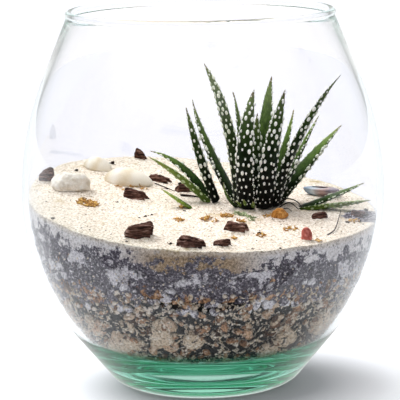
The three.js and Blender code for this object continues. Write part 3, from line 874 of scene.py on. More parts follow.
def tubercle_places(line, rng, settings):
    """Places of the white bumps: staggered bands on the outer face, and teeth on both margins."""
    places = []
    band_spacing, column_spacing = settings.band_spacing / MM, settings.column_spacing / MM
    bump = (settings.bump_width, settings.bump_length, BUMP_HEIGHT * MM)

    def add_bump(t, turn, size):
        t = min(LAST_BUMP, t)
        centre, along = line.frame_at(t)[:2]
        point = line.surface(t, turn)
        across = (line.surface(t, turn + 0.02) - line.surface(t, turn - 0.02)).normalized()
        normal = across.cross(along).normalized()
        if normal.dot(point - centre) < 0:
            normal = -normal
        basis = Matrix((normal.cross(along), along, normal)).transposed().to_4x4()
        scale = Matrix.Diagonal((*(length * size for length in bump), 1))
        places.append((Matrix.Translation(point * MM) @ basis @ scale, line.pale))

    distance = FIRST_BAND if line.length > SHORT_LEAF else FIRST_BAND_SHORT
    band = 0
    while distance < line.length - LAST_BAND:
        t = distance / line.length
        width = line.width_at(t)
        columns = max(1, round(ROUND_FACE * width / column_spacing))
        # Bumps are smaller at the root, on narrow leaves and on short ones
        size = min(1.0, 0.40 + 1.5 * t) * min(1.0, 0.35 + width / 7) * min(1.0, 0.4 + line.length / 50)
        for column in range(columns + 1):
            turn = OUTER_SHARE * (2 * (column + 0.5 * (band % 2)) / columns - 1)
            if abs(turn) > OUTER_SHARE + 0.01:
                continue
            turn = clamp(turn + rng.uniform(-STRAY_TURN, STRAY_TURN), -LAST_TURN, LAST_TURN)
            stray = rng.uniform(-STRAY_ALONG, STRAY_ALONG) / line.length
            add_bump(t + stray, turn, size * rng.uniform(0.6, 1.2))
        for margin in (-OUTER_SHARE, OUTER_SHARE):
            add_bump(t + 0.4 * band_spacing / line.length, margin, size * rng.uniform(0.38, 0.62))
        # Bands crowd at the root, where the leaf is narrow, and towards the tip
        distance += band_spacing * min(0.74 + 1.3 * t, 1.15 - 0.55 * t) * min(1, 0.55 + width / 9)
        band += 1
    return places


def crown_stem(crown, skin):
    """The short stem that the leaves stand on, in its hole in the sand."""
    x, y = crown["place"]
    reach = crown["radius"] * 0.9
    top = 0.3 * crown["rise"]
    half = (top + crown["depth"]) / 2
    middle = sand_height(x, y) + top - half
    stem = start_ball("stem", 20, 12)
    shape(stem, lambda point: (x + point.x * reach, y + point.y * reach, middle + point.z * half))
    smooth(stem)
    # The stem takes the leaf's root tone, nearly black with painted shade
    for name in ("along", "inner", "tint"):
        set_value(stem.data, name, 0.0)
    stem.data.materials.append(skin)
    return stem


# The sand as it lies

HEAP_ROUND_CHIP, HEAP_ROUND_CROWN = 1.1, 0.8
# A heap ends at this many half widths from the middle of what rests in it, and rises over this many
HEAP_REACH, HEAP_SLOPE = 1.6, 0.65
# How high the dunes lie over the frame's sand in the middle of their swing
SAND_RISE = 0.4


def resting_places():
    """Where something rests in the sand: its middle, its half widths and how high the sand is heaped."""
    rests = []
    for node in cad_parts:
        if node.startswith("bark_chip") or node.endswith(("stone", "pebble", "bark", "shell")):
            low, high = (Vector(corner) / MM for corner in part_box(node))
            middle, half = (low + high) / 2, (high - low) / 2
            rests.append((middle.x, middle.y, half.x, half.y, HEAP_ROUND_CHIP))
    for crown in CROWNS.values():
        reach = crown["radius"] + 0.6
        rests.append((*crown["place"], reach, reach, HEAP_ROUND_CROWN))
    return rests


RESTS = resting_places()


def sand_surface(x, y):
    """Low dunes and small dents over the sand's general slope, heaped round each piece."""
    heaped, share = 0.0, 0.0
    for middle_x, middle_y, half_x, half_y, rise in RESTS:
        away = math.hypot((x - middle_x) / half_x, (y - middle_y) / half_y)
        if away < HEAP_REACH:
            near = min(1.0, (HEAP_REACH - away) / HEAP_SLOPE)
            near *= near * (3 - 2 * near)
            heaped, share = max(heaped, rise * near), max(share, near)
    dunes = SAND_RISE + unevenness(x, y, 0, SAND_DUNES) * (1 - 0.6 * share)
    return sand_height(x, y) + max(heaped, dunes) + unevenness(x, y, 0, SAND_DENTS)


def sand_foot(x, y):
    """The ragged underside of the sand, which runs down into the soil in fingers."""
    angle = math.atan2(y, x)
    fingers = max(0.0, wall_unevenness(angle, 0, SAND_RING, SAND_FINGERS))
    return soil_height(x, y) - 1.0 - fingers - wall_unevenness(angle, 0, SAND_RING, SAND_FRINGE)


def soil_press(angle, height):
    """How far the crumbly side of the soil stands back from the glass."""
    return SOIL_STAND_BACK + wall_unevenness(angle, height, SOIL_RING, SOIL_CRUMBS)


def spot_near(rng, x, y, reach, crowding=0.5):
    """A random point round another, with its direction and its share of the reach.

    Crowding 0.5 spreads the points evenly, and more of it draws them to the middle.
    """
    angle, share = rng.uniform(0, FULL_TURN), rng.random() ** crowding
    return x + reach * share * math.cos(angle), y + reach * share * math.sin(angle), angle, share


def tumbled(rng, tilt):
    """A random turn: a small tilt about two axes, and any heading."""
    return rng.uniform(-tilt, tilt), rng.uniform(-tilt, tilt), rng.uniform(0, FULL_TURN)


def on_sand(x, y, lift, size, turn):
    """Place of a bit on the sand: how far its middle is lifted, its size in mm and its turn."""
    move = Matrix.Translation(Vector((x, y, sand_surface(x, y) + lift)) * MM)
    for angle, axis in zip(reversed(turn), "ZYX"):
        move = move @ Matrix.Rotation(angle, 4, axis)
    return move @ Matrix.Diagonal((*(length * MM for length in size), 1))


# Settings that a user may change

def length_setting(name, description, default, low, high):
    """A length that is given in mm here and kept in metres."""
    return bpy.props.FloatProperty(name=name, description=description, subtype="DISTANCE", precision=5,
                                   default=default * MM, min=low * MM, max=high * MM)


class BowlSettings(bpy.types.PropertyGroup):
    tint: bpy.props.FloatVectorProperty(
        name="Tint", description="Colour that light keeps after a long way through the glass",
        subtype="COLOR", size=3, min=0, max=1, default=linear("#0ADAB6")[:3])
    tint_density: bpy.props.FloatProperty(
        name="Tint density", description="How fast the glass tints light, per metre", default=12.0, min=0.0)
    facets: bpy.props.IntProperty(
        name="Facets", description="Faces round the bowl", default=144, min=48, max=256)


class FillSettings(bpy.types.PropertyGroup):
    grains: bpy.props.IntProperty(
        name="Loose grains", description="Coarse grains lying on the sand", default=900, min=0, max=4000)
    bits: bpy.props.IntProperty(
        name="Bark bits", description="Bits of bark and pebbles against the glass",
        default=1100, min=0, max=3000)
    clods: bpy.props.IntProperty(
        name="Soil clods", description="Crumbs of soil against the glass", default=700, min=0, max=3000)


class PlantSettings(bpy.types.PropertyGroup):
    band_spacing: length_setting("Band spacing", "Distance between bands of white bumps", 3.1, 2, 6)
    column_spacing: length_setting("Column spacing", "Distance between bumps across a leaf", 2.3, 1.5, 5)
    bump_length: length_setting("Bump length", "Length of a white bump along its leaf", 1.95, 0.5, 4)
    bump_width: length_setting("Bump width", "Width of a white bump", 1.25, 0.5, 4)


class StageSettings(bpy.types.PropertyGroup):
    floor_colour: bpy.props.FloatVectorProperty(
        name="Floor colour", description="Colour of the pale table that the bowl stands on",
        subtype="COLOR", size=3, min=0, max=1, default=linear("#BEC0C7")[:3])
    floor_glow: bpy.props.FloatProperty(
        name="Floor glow", description="Light that comes up through the opal table", default=0.42, min=0)
    sky: bpy.props.FloatProperty(
        name="Surrounding light", description="Strength of the soft light above and behind the bowl",
        default=1.1, min=0)
    sun: bpy.props.FloatProperty(
        name="Window light", description="Strength of the wide light from the back left",
        default=4.2, min=0)
    sun_width: bpy.props.FloatProperty(
        name="Window width", description="Angle over which the window light is spread",
        subtype="ANGLE", default=math.radians(50), min=0, max=math.pi)


# Operators, one for each piece or group of like pieces

class TERRARIUM_OT_bowl(bpy.types.Operator):
    """Blown glass bowl with a thick green foot, a melted lip and a shallow hollow under it"""
    bl_idname = "terrarium.bowl"
    bl_label = "Glass Bowl"
    bl_options = {"REGISTER", "UNDO"}

    def execute(self, context):
        settings = context.scene.terrarium_bowl
        profile = bowl_profile()
        bowl = start_piece(bpy.ops.mesh.primitive_circle_add, "glass_bowl_blown",
                           vertices=len(profile), fill_type="NOTHING")
        for vertex, (radius, height) in zip(bowl.data.vertices, profile):
            vertex.co = Vector((radius, 0, height)) * MM
        # The edge along the axis goes, and the open half section is spun round it
        bpy.ops.object.mode_set(mode="EDIT")
        bpy.ops.mesh.select_all(action="DESELECT")
        bpy.ops.object.mode_set(mode="OBJECT")
        for edge in bowl.data.edges:
            edge.select = set(edge.vertices) == {0, len(profile) - 1}
        bpy.ops.object.mode_set(mode="EDIT")
        bpy.ops.mesh.select_mode(type="EDGE")
        bpy.ops.mesh.delete(type="EDGE")
        bpy.ops.mesh.select_mode(type="VERT")
        bpy.ops.object.mode_set(mode="OBJECT")
        mesh_edit(bowl, (bpy.ops.mesh.spin, {
            "steps": settings.facets, "angle": FULL_TURN, "center": (0, 0, 0), "axis": (0, 0, 1)}))
        mend_seams(bowl)
        smooth(bowl, 50)
        bowl.data.materials.append(clear_glass(settings))
        finish_piece(bowl, "glass", "glass_bowl")
        return {"FINISHED"}


class TERRARIUM_OT_drainage(bpy.types.Operator):
    """Bark fibre and pebbles in the bottom of the bowl"""
    bl_idname = "terrarium.drainage"
    bl_label = "Bark and Pebbles"
    bl_options = {"REGISTER", "UNDO"}

    def execute(self, context):
        half = context.scene.terrarium_fill.bits // 2
        bed = fill_layer("bark_bed", lambda x, y: FLOOR_HEIGHT + GAP, drainage_height, 160, 60, 0.15,
                         lambda angle, height: BARK_STAND_BACK)
        finish = chip_fill_finish()
        set_value(bed.data, "tint", 0.0)
        bed.data.materials.append(finish)
        # The bed's underside takes the pale sand finish, as sand trickled to the floor of the bowl: painted
        # light, which the thick glass shows as a green glow
        bed.data.materials.append(sand_finish())
        for face in bed.data.polygons:
            face.material_index = 1 if face.center.z < (FLOOR_HEIGHT + 0.5) * MM else 0
        smooth(bed)
        low = FLOOR_HEIGHT + 3
        # Model, finish, count and tints, then heights, sizes, form and how far it lies behind the face
        bits = packed_bits(random.Random(11), (
            ("pebbles", rough_bit("pebble", 3, 0.22), finish, 90, (0.52, 0.8),
             (low, 38), (6, 12), (0.5, 1.0, 0.8), 2.8),
            ("bark", rough_bit("bark bit", 2, 0.6), finish, half, (0.05, 0.7),
             (low, 50), (2.0, 5), (0.5, 1.2, 0.7), 1.3),
            ("crumbs", rough_bit("crumb", 1, 0.5), finish, half, (0.1, 1.0),
             (low, 52), (1.0, 2.2), (0.8, 1.1, 0.8), 0.8),
            ("fibres", fibre_bit("fibre"), finish, 520, (0.8, 1.0),
             (low + 8, 49), (1.8, 4.0), (1.5, 0.9, 1.3), 0.45)))
        finish_piece(join([bed, *bits], "bark_and_pebbles"), "drainage", "drainage_layer")
        return {"FINISHED"}


class TERRARIUM_OT_soil(bpy.types.Operator):
    """Dark soil over the bark"""
    bl_idname = "terrarium.soil"
    bl_label = "Soil"
    bl_options = {"REGISTER", "UNDO"}

    def execute(self, context):
        clods = context.scene.terrarium_fill.clods
        bed = fill_layer("soil_bed", drainage_height, soil_height, 300, 80, 0.15, soil_press)
        peat, grit = soil_finish(), sand_finish()
        set_value(bed.data, "tint", 0.2)
        bed.data.materials.append(peat)
        smooth(bed)
        any_tint = (0.0, 1.0)
        bits = packed_bits(random.Random(12), (
            ("clods", rough_bit("clod", 2, 0.6), peat, clods, any_tint,
             (42, 66), (1.5, 4.5), (0.5, 1.1, 0.8), 1.0),
            ("grit", rough_bit("grit", 1, 0.5), grit, clods, any_tint,
             (36, 64), (0.4, 1.1), (0.7, 1.1, 0.8), 0.35),
            ("flakes", rough_bit("flake", 1, 0.6), grit, 260, any_tint,
             (40, 50), (1.0, 2.6), (0.4, 1.2, 0.8), 0.5)))
        finish_piece(join([bed, *bits], "crumbly_soil"), "soil", "soil_layer")
        return {"FINISHED"}


class TERRARIUM_OT_sand(bpy.types.Operator):
    """Pale sand with low dunes and loose coarse grains"""
    bl_idname = "terrarium.sand"
    bl_label = "Sand"
    bl_options = {"REGISTER", "UNDO"}

    def execute(self, context):
        rng = random.Random(13)
        sand = fill_layer("sand_bed", sand_foot, sand_surface, 360, 130, 0.62, lambda angle, height: 0)
        finish = sand_finish()
        sand.data.materials.append(finish)
        smooth(sand)
        bit = rough_bit("sand grain", 1, 0.5)
        bit.data.materials.append(finish)
        places = []
        for _ in range(context.scene.terrarium_fill.grains):
            x, y = spot_near(rng, 0, 0, 70)[:2]
            size = rng.uniform(0.3, 0.65)
            turn = [rng.uniform(0, 3) for _ in range(3)]
            places.append((on_sand(x, y, 0.1 * size, (size, size, size), turn), rng.random()))
        grains = strew(bit, places, "sand_grains")
        finish_piece(join([sand, grains], "dry_sand"), "sand", "sand_layer")
        return {"FINISHED"}


class TERRARIUM_OT_haworthia(bpy.types.Operator):
    """The haworthia, its pups and the young leaf: fleshy leaves set with white bumps"""
    bl_idname = "terrarium.haworthia"
    bl_label = "Haworthia"
    bl_options = {"REGISTER", "UNDO"}

    def execute(self, context):
        settings = context.scene.terrarium_plant
        rng = random.Random(14)
        skin = leaf_finish()
        bump = start_ball("tubercle", 8, 5, 0.5)
        bump.data.materials.append(tubercle_finish())
        smooth(bump)
        for node, crown in CROWNS.items():
            lines = [LeafLine(leaf, crown) for leaf in crown["leaves"]]
            pieces = [crown_stem(crown, skin)] + [leaf_body(line, skin) for line in lines]
            places = [place for line in lines for place in tubercle_places(line, rng, settings)]
            pieces.append(scatter(bump, places, "tubercles"))
            slot = "young_leaf" if node == "young_leaf" else "leaf"
            finish_piece(join(pieces, f"{node}_grown"), slot, node)
        bpy.data.objects.remove(bump)
        return {"FINISHED"}


class TERRARIUM_OT_bark(bpy.types.Operator):
    """Bark chips lying on the sand"""
    bl_idname = "terrarium.bark"
    bl_label = "Bark Chips"
    bl_options = {"REGISTER", "UNDO"}

    def execute(self, context):
        finish = bark_finish()
        for node in [f"bark_chip_{number}" for number in range(1, 12)]:
            chip = copy_of_node(node, f"{node}_rough")
            mesh_edit(
                chip,
                (bpy.ops.mesh.bevel, {"offset": 0.25 * MM, "segments": 1, "affect": "EDGES"}),
                (bpy.ops.mesh.quads_convert_to_tris, {}),
                (bpy.ops.mesh.subdivide, {"number_cuts": 6}),
            )
            roughen(chip, (5.0, 1.6), (1.8, 0.7), (0.7, 0.25))
            smooth(chip, 35)
            chip.data.materials.append(finish)
            finish_piece(chip, "bark", node)
        return {"FINISHED"}


class TERRARIUM_OT_stones(bpy.types.Operator):
    """White stone, red pebble and the amber piece of bark"""
    bl_idname = "terrarium.stones"
    bl_label = "Stones"
    bl_options = {"REGISTER", "UNDO"}

    def execute(self, context):
        # Chalk, worn round: nearly white, matt, with soft cream hollows
        chalk = mottled("Chalky white stone",
                        [(0.32, "#D8CCBA"), (0.46, "#F0E8DC"), (0.6, "#FBF7F0"), (0.72, "#FFFEFB")],
                        3.5, 0.8, (1.2, 0.6, 0.5))
        # Broken brick-red sandstone: matt and gritty
        brick = mottled("Rough red stone", [(0.3, "#93463C"), (0.5, "#CC6D62"), (0.7, "#F0A89C")],
                        1.5, 0.8, (0.8, 0.4, 0.5))
        # Fresh inner bark: golden and fibrous
        amber = mottled("Fibrous amber bark", [(0.3, "#7A4A1C"), (0.5, "#C08038"), (0.7, "#EDBE78")],
                        1.2, 0.85, (0.8, 0.6, 0.8))
        for node, slot, finish in (("white_stone", "white_stone", chalk),
                                   ("red_pebble", "red_stone", brick),
                                   ("amber_bark", "amber_bark", amber)):
            stone = copy_of_node(node, f"{node}_worn")
            mesh_edit(stone, (bpy.ops.mesh.quads_convert_to_tris, {}))
            apply_modifier(stone, "SUBSURF", levels=3, render_levels=3)
            roughen(stone, (5.0, 1.8), (2.0, 0.6), (0.8, 0.2))
            smooth(stone, 60)
            stone.data.materials.append(finish)
            finish_piece(stone, slot, node)
        return {"FINISHED"}


class TERRARIUM_OT_shells(bpy.types.Operator):
    """Three shell valves: cream, long white and blue-grey"""
    bl_idname = "terrarium.shells"
    bl_label = "Shells"
    bl_options = {"REGISTER", "UNDO"}

    def execute(self, context):
        pale = shell_finish("Pale sea shell", [(0.2, "#D9C6A4"), (0.4, "#F0E6D3"), (0.55, "#FBF6EC"),
                                               (0.75, "#E6D6BA"), (0.9, "#F4ECDD")], 0.4)
        blue = shell_finish("Blue mussel shell", [(0.2, "#5F7387"), (0.45, "#8FA3B5"), (0.6, "#C9D3DC"),
                                                  (0.8, "#B99A95"), (0.95, "#8C7F8C")], 0.25)
        for node, slot, finish in (("cream_shell", "pale_shell", pale),
                                   ("white_shell", "pale_shell", pale),
                                   ("blue_shell", "blue_shell", blue)):
            shell = copy_of_node(node, f"{node}_valve")
            apply_modifier(shell, "SUBSURF", levels=3, render_levels=3)
            smooth(shell, 80)
            # Rings are measured from the beak, at the shell's left end
            low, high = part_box(node)
            span = high - low
            beak = Vector((low.x, (low.y + high.y) / 2))
            rings = [math.hypot((vertex.co.x - beak.x) / span.x, (vertex.co.y - beak.y) / span.y)
                     for vertex in shell.data.vertices]
            set_value(shell.data, "ring", rings)
            shell.data.materials.append(finish)
            finish_piece(shell, slot, node)
        return {"FINISHED"}


# Litter on the sand, in mm: dry moss is x, y, reach and number of fibres, and scraps are x, y and size

MOSS_TUFTS = [
    (-47, -16, 4.2, 90), (-49, -12, 2.0, 20), (-10.2, -32.8, 2.2, 12), (2.2, -27.7, 4.0, 30),
    (9.2, -22, 2.6, 24), (14.7, -29.5, 2.2, 12), (27.5, -20.5, 3.2, 22), (34.2, -37.3, 3.0, 16),
    (22.3, -47.5, 2.4, 10), (11.5, -52.9, 1.4, 8), (44.7, -52, 1.6, 8), (-33, 11.5, 4.5, 22),
    (-26, 10.5, 2.5, 10), (-9.0, -12.5, 2.0, 14), (61, -22, 2.4, 12),
]
GREEN_BITS = [(16.2, -19.2, 2.0, 16), (18.9, -23.2, 2.2, 16), (13.5, -17.5, 1.6, 8), (19.6, -27.6, 1.4, 8)]
SCRAPS = [
    (-54.5, 31.5, 1.6), (-47.4, 34.1, 2.0), (-41.8, 34.5, 1.8), (-39.3, 49.0, 2.6), (-59.3, -38.5, 1.4),
    (-25.6, -30.2, 0.9), (-23.2, -28.3, 1.2), (-20.8, -26.5, 1.5), (-35.0, -11.1, 1.0), (18.7, -66.0, 1.0),
    (29.5, -64.0, 1.2), (-12.8, -62.5, 1.6), (-30.0, -61.5, 1.3), (-7.5, -17.9, 1.1), (22.0, -44.6, 2.2),
    (-9.7, 23.8, 2.2), (0.9, 34.1, 1.8), (45.7, -15.6, 2.4), (62.9, -21.1, 2.4), (66.0, -15.0, 3.0),
    (64.0, -9.0, 2.6), (67.5, -3.0, 2.4), (61.0, -14.0, 1.8), (58.0, -24.0, 1.6), (-15, 14, 1.4),
    (-2, 8, 1.6),
]
STRANDS = {
    "twig": (0.28, [(48.3, -44.5, 0.3), (51.8, -38.2, 0.8), (54.5, -24, 1.6), (56.8, -7.1, 1.0)]),
    "stick": (0.55, [(-9.6, 6, 0.5), (-5, 4.6, 0.7), (-0.5, 3.6, 0.4)]),
    "sliver": (0.3, [(-21, 19, 0.4), (-15, 13, 0.6), (-12, 9.5, 0.4)]),
    "root_high": (0.3, [(30.5, -6, 1.6), (34.5, -6.8, 4.6), (38.5, -6.4, 3.4), (41, -5.5, 0.2)]),
    "root_middle": (0.3, [(31, -8, 1.0), (35.5, -9.2, 3.4), (39.5, -8.6, 0.2)]),
    "root_low": (0.25, [(31.5, -9.5, 0.6), (34.5, -11, 1.5), (36.5, -10, 0.0)]),
}

# Width, length and height of moss fibres, scraps and specks for a size of 1
FIBRE_FORM = (2.4, 1.0, 2.0)
SCRAP_FORM = (1.0, 0.6, 0.5)
SPECK_FORM = (1.0, 0.6, 0.4)


def formed(form, size):
    return [part * size for part in form]


def strand(name, radius, points):
    """A thin root or twig: a sphere drawn out along points that stand at heights over the sand."""
    line = [Vector((x, y, sand_surface(x, y) + rise)) for x, y, rise in points]
    piece = start_ball(name, 6, 24)
    spans = len(line) - 1

    def along(t):
        step = min(spans - 1, int(t * spans))
        u = t * spans - step
        before, start, end, after = (line[clamp(step + i, 0, spans)] for i in (-1, 0, 1, 2))
        return 0.5 * (2 * start + (end - before) * u + (2 * before - 5 * start + 4 * end - after) * u * u
                      + (3 * start - before - 3 * end + after) * u ** 3)

    def rule(point):
        t = up_sphere(point.z)
        ahead = (along(min(1, t + 0.01)) - along(max(0, t - 0.01))).normalized()
        side = ahead.cross(Vector((0, 0, 1))).normalized()
        thick = radius * (1 - 0.5 * t) / max(0.3, math.sqrt(max(0.0, 1 - point.z * point.z)))
        return along(t) + side * (point.x * thick) + side.cross(ahead) * (point.y * thick)

    shape(piece, rule)
    smooth(piece)
    set_value(piece.data, "tint", 0.5)
    return piece


class TERRARIUM_OT_litter(bpy.types.Operator):
    """Dry moss, green crumbs, dark scraps, thin roots and a twig on the sand"""
    bl_idname = "terrarium.litter"
    bl_label = "Litter"
    bl_options = {"REGISTER", "UNDO"}

    def execute(self, context):
        rng = random.Random(15)
        # Dry sphagnum: thin golden fibres
        moss = mottled("Dry moss", [(0.3, "#A9925E"), (0.5, "#E3CC92"), (0.7, "#FFF4D2")],
                       1.2, 0.9, (0.6, 0.3, 0.4),
                       [(0.0, "#7A4E1E"), (0.35, "#C48A36"), (0.7, "#EDBE68"), (1.0, "#FBE4A8")])
        # Crumbs of living moss and leaf: pale green
        green = mottled("Green moss crumbs", [(0.3, "#8FA070"), (0.5, "#D4DCC0"), (0.7, "#FFFFF2")],
                        1.0, 0.8, (0.6, 0.3, 0.4), [(0.0, "#5E7A3C"), (0.5, "#A4B884"), (1.0, "#E6ECD2")])
        # Humus and thin roots: nearly black, matt
        humus = mottled("Dark humus", [(0.3, "#0E0A08"), (0.5, "#241A15"), (0.68, "#4A3A31")],
                        1.0, 0.85, (0.7, 0.4, 0.5))
        for name, tufts, finish, slot in (("moss_tufts", MOSS_TUFTS, moss, "amber_bark"),
                                          ("green_crumbs", GREEN_BITS, green, "young_leaf")):
            fibre = fibre_bit("fibre")
            fibre.data.materials.append(finish)
            places = []
            for middle_x, middle_y, reach, count in tufts:
                for _ in range(count):
                    x, y, _, share = spot_near(rng, middle_x, middle_y, reach, 0.7)
                    size = rng.uniform(1.0, 2.8)
                    lift = rng.uniform(0.0, 0.9) * max(0.2, 1 - share) + 0.15
                    turn = tumbled(rng, 0.5)
                    places.append((on_sand(x, y, lift, formed(FIBRE_FORM, size), turn), rng.random()))
            finish_piece(strew(fibre, places, name), slot)
        scrap = rough_bit("scrap", 2, 0.9)
        scrap.data.materials.append(humus)
        places = []
        # A scrap is three bits, each smaller than the last and further from its middle
        for middle_x, middle_y, size in SCRAPS:
            for part in range(3):
                own = size * (1 - 0.28 * part) * rng.uniform(0.8, 1.1)
                x, y = (middle + part * rng.uniform(-1, 1) * size * 0.6 for middle in (middle_x, middle_y))
                turn = tumbled(rng, 0.4)
                places.append((on_sand(x, y, 0.15 * own, formed(SCRAP_FORM, own), turn), rng.random()))
        # Fine specks lie all over the sand
        for _ in range(140):
            x, y, angle = spot_near(rng, 0, 0, 69)[:3]
            own = rng.uniform(0.3, 0.8)
            places.append((on_sand(x, y, 0.1 * own, formed(SPECK_FORM, own), (0, 0, angle)), rng.random()))
        pieces = [strew(scrap, places, "scraps")]
        for name, (radius, points) in STRANDS.items():
            pieces.append(strand(name, radius, points))
            pieces[-1].data.materials.append(humus)
        finish_piece(join(pieces, "scraps_roots_and_twig"), "bark")
        return {"FINISHED"}


# Stage

WINDOW_SIDE = Vector((-0.45, 0.30, 1.0))
LIGHT_BOUNCES = 64
# The table reaches far behind the bowl, and lies a hair under its foot, in metres
TABLE_SIZE, TABLE_PLACE = 24, (0, 10, -0.1 * MM)
# The table as the front of the bowl mirrors it, from straight below to a third of the way up
TABLE_TONES = [(0.0, "#000000"), (0.07, "#202020"), (0.15, "#C6C4CE"), (0.25, "#B4B2BC"), (0.33, "#000000")]
CAMERA_PLACE = Vector((0, -1.02305, 0.24675))
CAMERA_TARGET = Vector((-0.0013, 0, 0.07646))
CAMERA_ROLL = -0.016
CAMERA_LENS = 224.9


def studio_sky(settings):
    """Light from all round: bright above and behind the bowl, and dim in front of it.

    Below the horizon it stands for the table, as the front of the bowl mirrors it: bright further
    off, and dark near the foot.
    """
    world = bpy.data.worlds.new("Studio")
    world.use_nodes = True
    tree = world.node_tree
    tree.nodes.clear()
    direction = add_node(tree, "ShaderNodeTexCoord").outputs["Generated"]
    parts = add_node(tree, "ShaderNodeSeparateXYZ", {"Vector": direction}).outputs
    above = add_node(tree, "ShaderNodeMapRange",
                     {"Value": parts["Z"], "From Min": 0.35, "From Max": 0.8, "To Min": 0.0, "To Max": 1.1},
                     interpolation_type="SMOOTHSTEP")
    path = add_node(tree, "ShaderNodeLightPath").outputs
    first = add_node(tree, "ShaderNodeMath", {0: path["Diffuse Depth"], 1: 0.5}, operation="LESS_THAN")
    # The room in front lights the fill a little, but is hardly mirrored in the glass
    room = add_node(tree, "ShaderNodeMath", {0: first, 1: -0.07, 2: 0.08}, operation="MULTIPLY_ADD")
    behind = add_node(tree, "ShaderNodeMapRange",
                      {"Value": parts["Y"], "From Min": 0.1, "From Max": 0.7,
                       "To Min": room, "To Max": 0.85}, interpolation_type="SMOOTHSTEP")
    steepness = add_node(tree, "ShaderNodeMath", {0: parts["Z"], 1: 0.5, 2: 0.5}, operation="MULTIPLY_ADD")
    table = add_node(tree, "ShaderNodeValToRGB", {"Fac": steepness}, ramp=TABLE_TONES)
    under = add_node(tree, "ShaderNodeMath", {0: behind, 1: table}, operation="MAXIMUM")
    level = add_node(tree, "ShaderNodeMath", {0: above, 1: under}, operation="MAXIMUM")
    strength = add_node(tree, "ShaderNodeMath", {0: level, 1: settings.sky}, operation="MULTIPLY")
    lit = add_node(tree, "ShaderNodeBackground", {"Color": (1, 1, 1, 1), "Strength": strength})
    # A plain white backdrop is seen past the bowl and straight through its glass. Grey cards stand
    # at both sides of it: they draw the thin dark outline of the glass
    aside = add_node(tree, "ShaderNodeMath", {0: parts["X"]}, operation="ABSOLUTE")
    cards = add_node(tree, "ShaderNodeMapRange",
                     {"Value": aside, "From Min": 0.15, "From Max": 0.5, "To Min": 1.2, "To Max": 0.35},
                     interpolation_type="SMOOTHSTEP")
    seen = add_node(tree, "ShaderNodeBackground", {"Color": (1, 1, 1, 1), "Strength": cards})
    onward = add_node(tree, "ShaderNodeMath", {0: parts["Y"], 1: 0.0}, operation="GREATER_THAN")
    straight = add_node(tree, "ShaderNodeMath", {0: first, 1: onward}, operation="MULTIPLY")
    through = add_node(tree, "ShaderNodeMath", {0: straight, 1: path["Is Transmission Ray"]},
                       operation="MULTIPLY")
    backdrop = add_node(tree, "ShaderNodeMath", {0: through, 1: path["Is Camera Ray"]}, operation="MAXIMUM")
    mixed = add_node(tree, "ShaderNodeMixShader", {0: backdrop, 1: lit, 2: seen})
    add_node(tree, "ShaderNodeOutputWorld", {"Surface": mixed})
    return world


def photo_camera():
    """A long lens in front of the bowl, a little above it, looking slightly down."""
    back = (CAMERA_PLACE - CAMERA_TARGET).normalized()
    level = Vector((0, 0, 1)).cross(back).normalized()
    right = level * math.cos(CAMERA_ROLL) + back.cross(level) * math.sin(CAMERA_ROLL)
    lens = bpy.data.cameras.new("photo view")
    lens.sensor_width = 36
    lens.lens = CAMERA_LENS
    lens.clip_start, lens.clip_end = 0.05, 30
    camera = bpy.data.objects.new("photo view", lens)
    camera.matrix_world = Matrix.Translation(CAMERA_PLACE) @ Matrix(
        (right, back.cross(right), back)).transposed().to_4x4()
    bpy.context.scene.collection.objects.link(camera)
    return camera


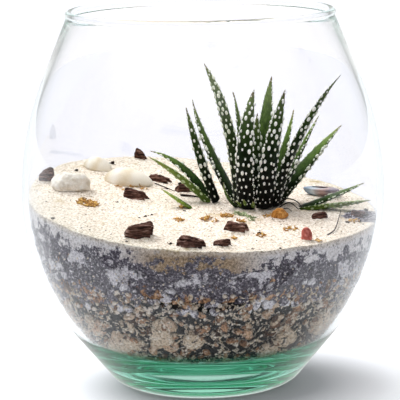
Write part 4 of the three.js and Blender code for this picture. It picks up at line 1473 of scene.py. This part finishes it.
class TERRARIUM_OT_stage(bpy.types.Operator):
    """Pale table, soft lights and the camera"""
    bl_idname = "terrarium.stage"
    bl_label = "Stage"
    bl_options = {"REGISTER", "UNDO"}

    def execute(self, context):
        settings = context.scene.terrarium_stage
        ground = start_piece(bpy.ops.mesh.primitive_plane_add, "floor",
                             size=TABLE_SIZE, location=TABLE_PLACE)
        bpy.ops.object.transform_apply(location=True, rotation=True, scale=True)
        ground.data.materials.append(table_finish(settings))
        # As through a polarising filter: the table isn't mirrored in the front of the bowl
        ground.visible_glossy = False
        context.scene.world = studio_sky(settings)

        window = bpy.data.lights.new("window", "SUN")
        window.energy = settings.sun
        window.angle = settings.sun_width
        holder = bpy.data.objects.new("window", window)
        # The window stands outside what the glass mirrors towards the camera
        holder.visible_glossy = False
        holder.visible_transmission = False
        holder.rotation_euler = (-WINDOW_SIDE).to_track_quat("-Z", "Y").to_euler()
        context.scene.collection.objects.link(holder)

        context.scene.camera = photo_camera()
        context.scene.view_settings.view_transform = "Standard"
        # Light runs a long way round inside a thick glass foot before it comes out again
        for limit in ("max_bounces", "glossy_bounces", "transmission_bounces", "transparent_max_bounces"):
            setattr(context.scene.cycles, limit, LIGHT_BOUNCES)
        return {"FINISHED"}


class TERRARIUM_PT_panel(bpy.types.Panel):
    """Lists the pieces of the terrarium"""
    bl_idname = "TERRARIUM_PT_panel"
    bl_label = "Terrarium"
    bl_space_type = "VIEW_3D"
    bl_region_type = "UI"
    bl_category = "Terrarium"

    def draw(self, context):
        for owner in SETTINGS:
            box = self.layout.box()
            group = getattr(context.scene, owner)
            for name in group.__annotations__:
                box.prop(group, name)
        for operator in OPERATORS:
            self.layout.operator(operator.bl_idname)


SETTINGS = {
    "terrarium_bowl": BowlSettings,
    "terrarium_fill": FillSettings,
    "terrarium_plant": PlantSettings,
    "terrarium_stage": StageSettings,
}
OPERATORS = (
    TERRARIUM_OT_stage,
    TERRARIUM_OT_bowl,
    TERRARIUM_OT_drainage,
    TERRARIUM_OT_soil,
    TERRARIUM_OT_sand,
    TERRARIUM_OT_haworthia,
    TERRARIUM_OT_bark,
    TERRARIUM_OT_stones,
    TERRARIUM_OT_shells,
    TERRARIUM_OT_litter,
)


def register():
    for owner, group in SETTINGS.items():
        bpy.utils.register_class(group)
        setattr(bpy.types.Scene, owner, bpy.props.PointerProperty(type=group))
    for operator in OPERATORS:
        bpy.utils.register_class(operator)
    bpy.utils.register_class(TERRARIUM_PT_panel)


def unregister():
    bpy.utils.unregister_class(TERRARIUM_PT_panel)
    for operator in reversed(OPERATORS):
        bpy.utils.unregister_class(operator)
    for owner, group in reversed(SETTINGS.items()):
        delattr(bpy.types.Scene, owner)
        bpy.utils.unregister_class(group)


def main():
    register()
    for operator in OPERATORS:
        family, name = operator.bl_idname.split(".")
        getattr(getattr(bpy.ops, family), name)()
    bpy.context.view_layer.update()


if __name__ == "__main__":
    main()
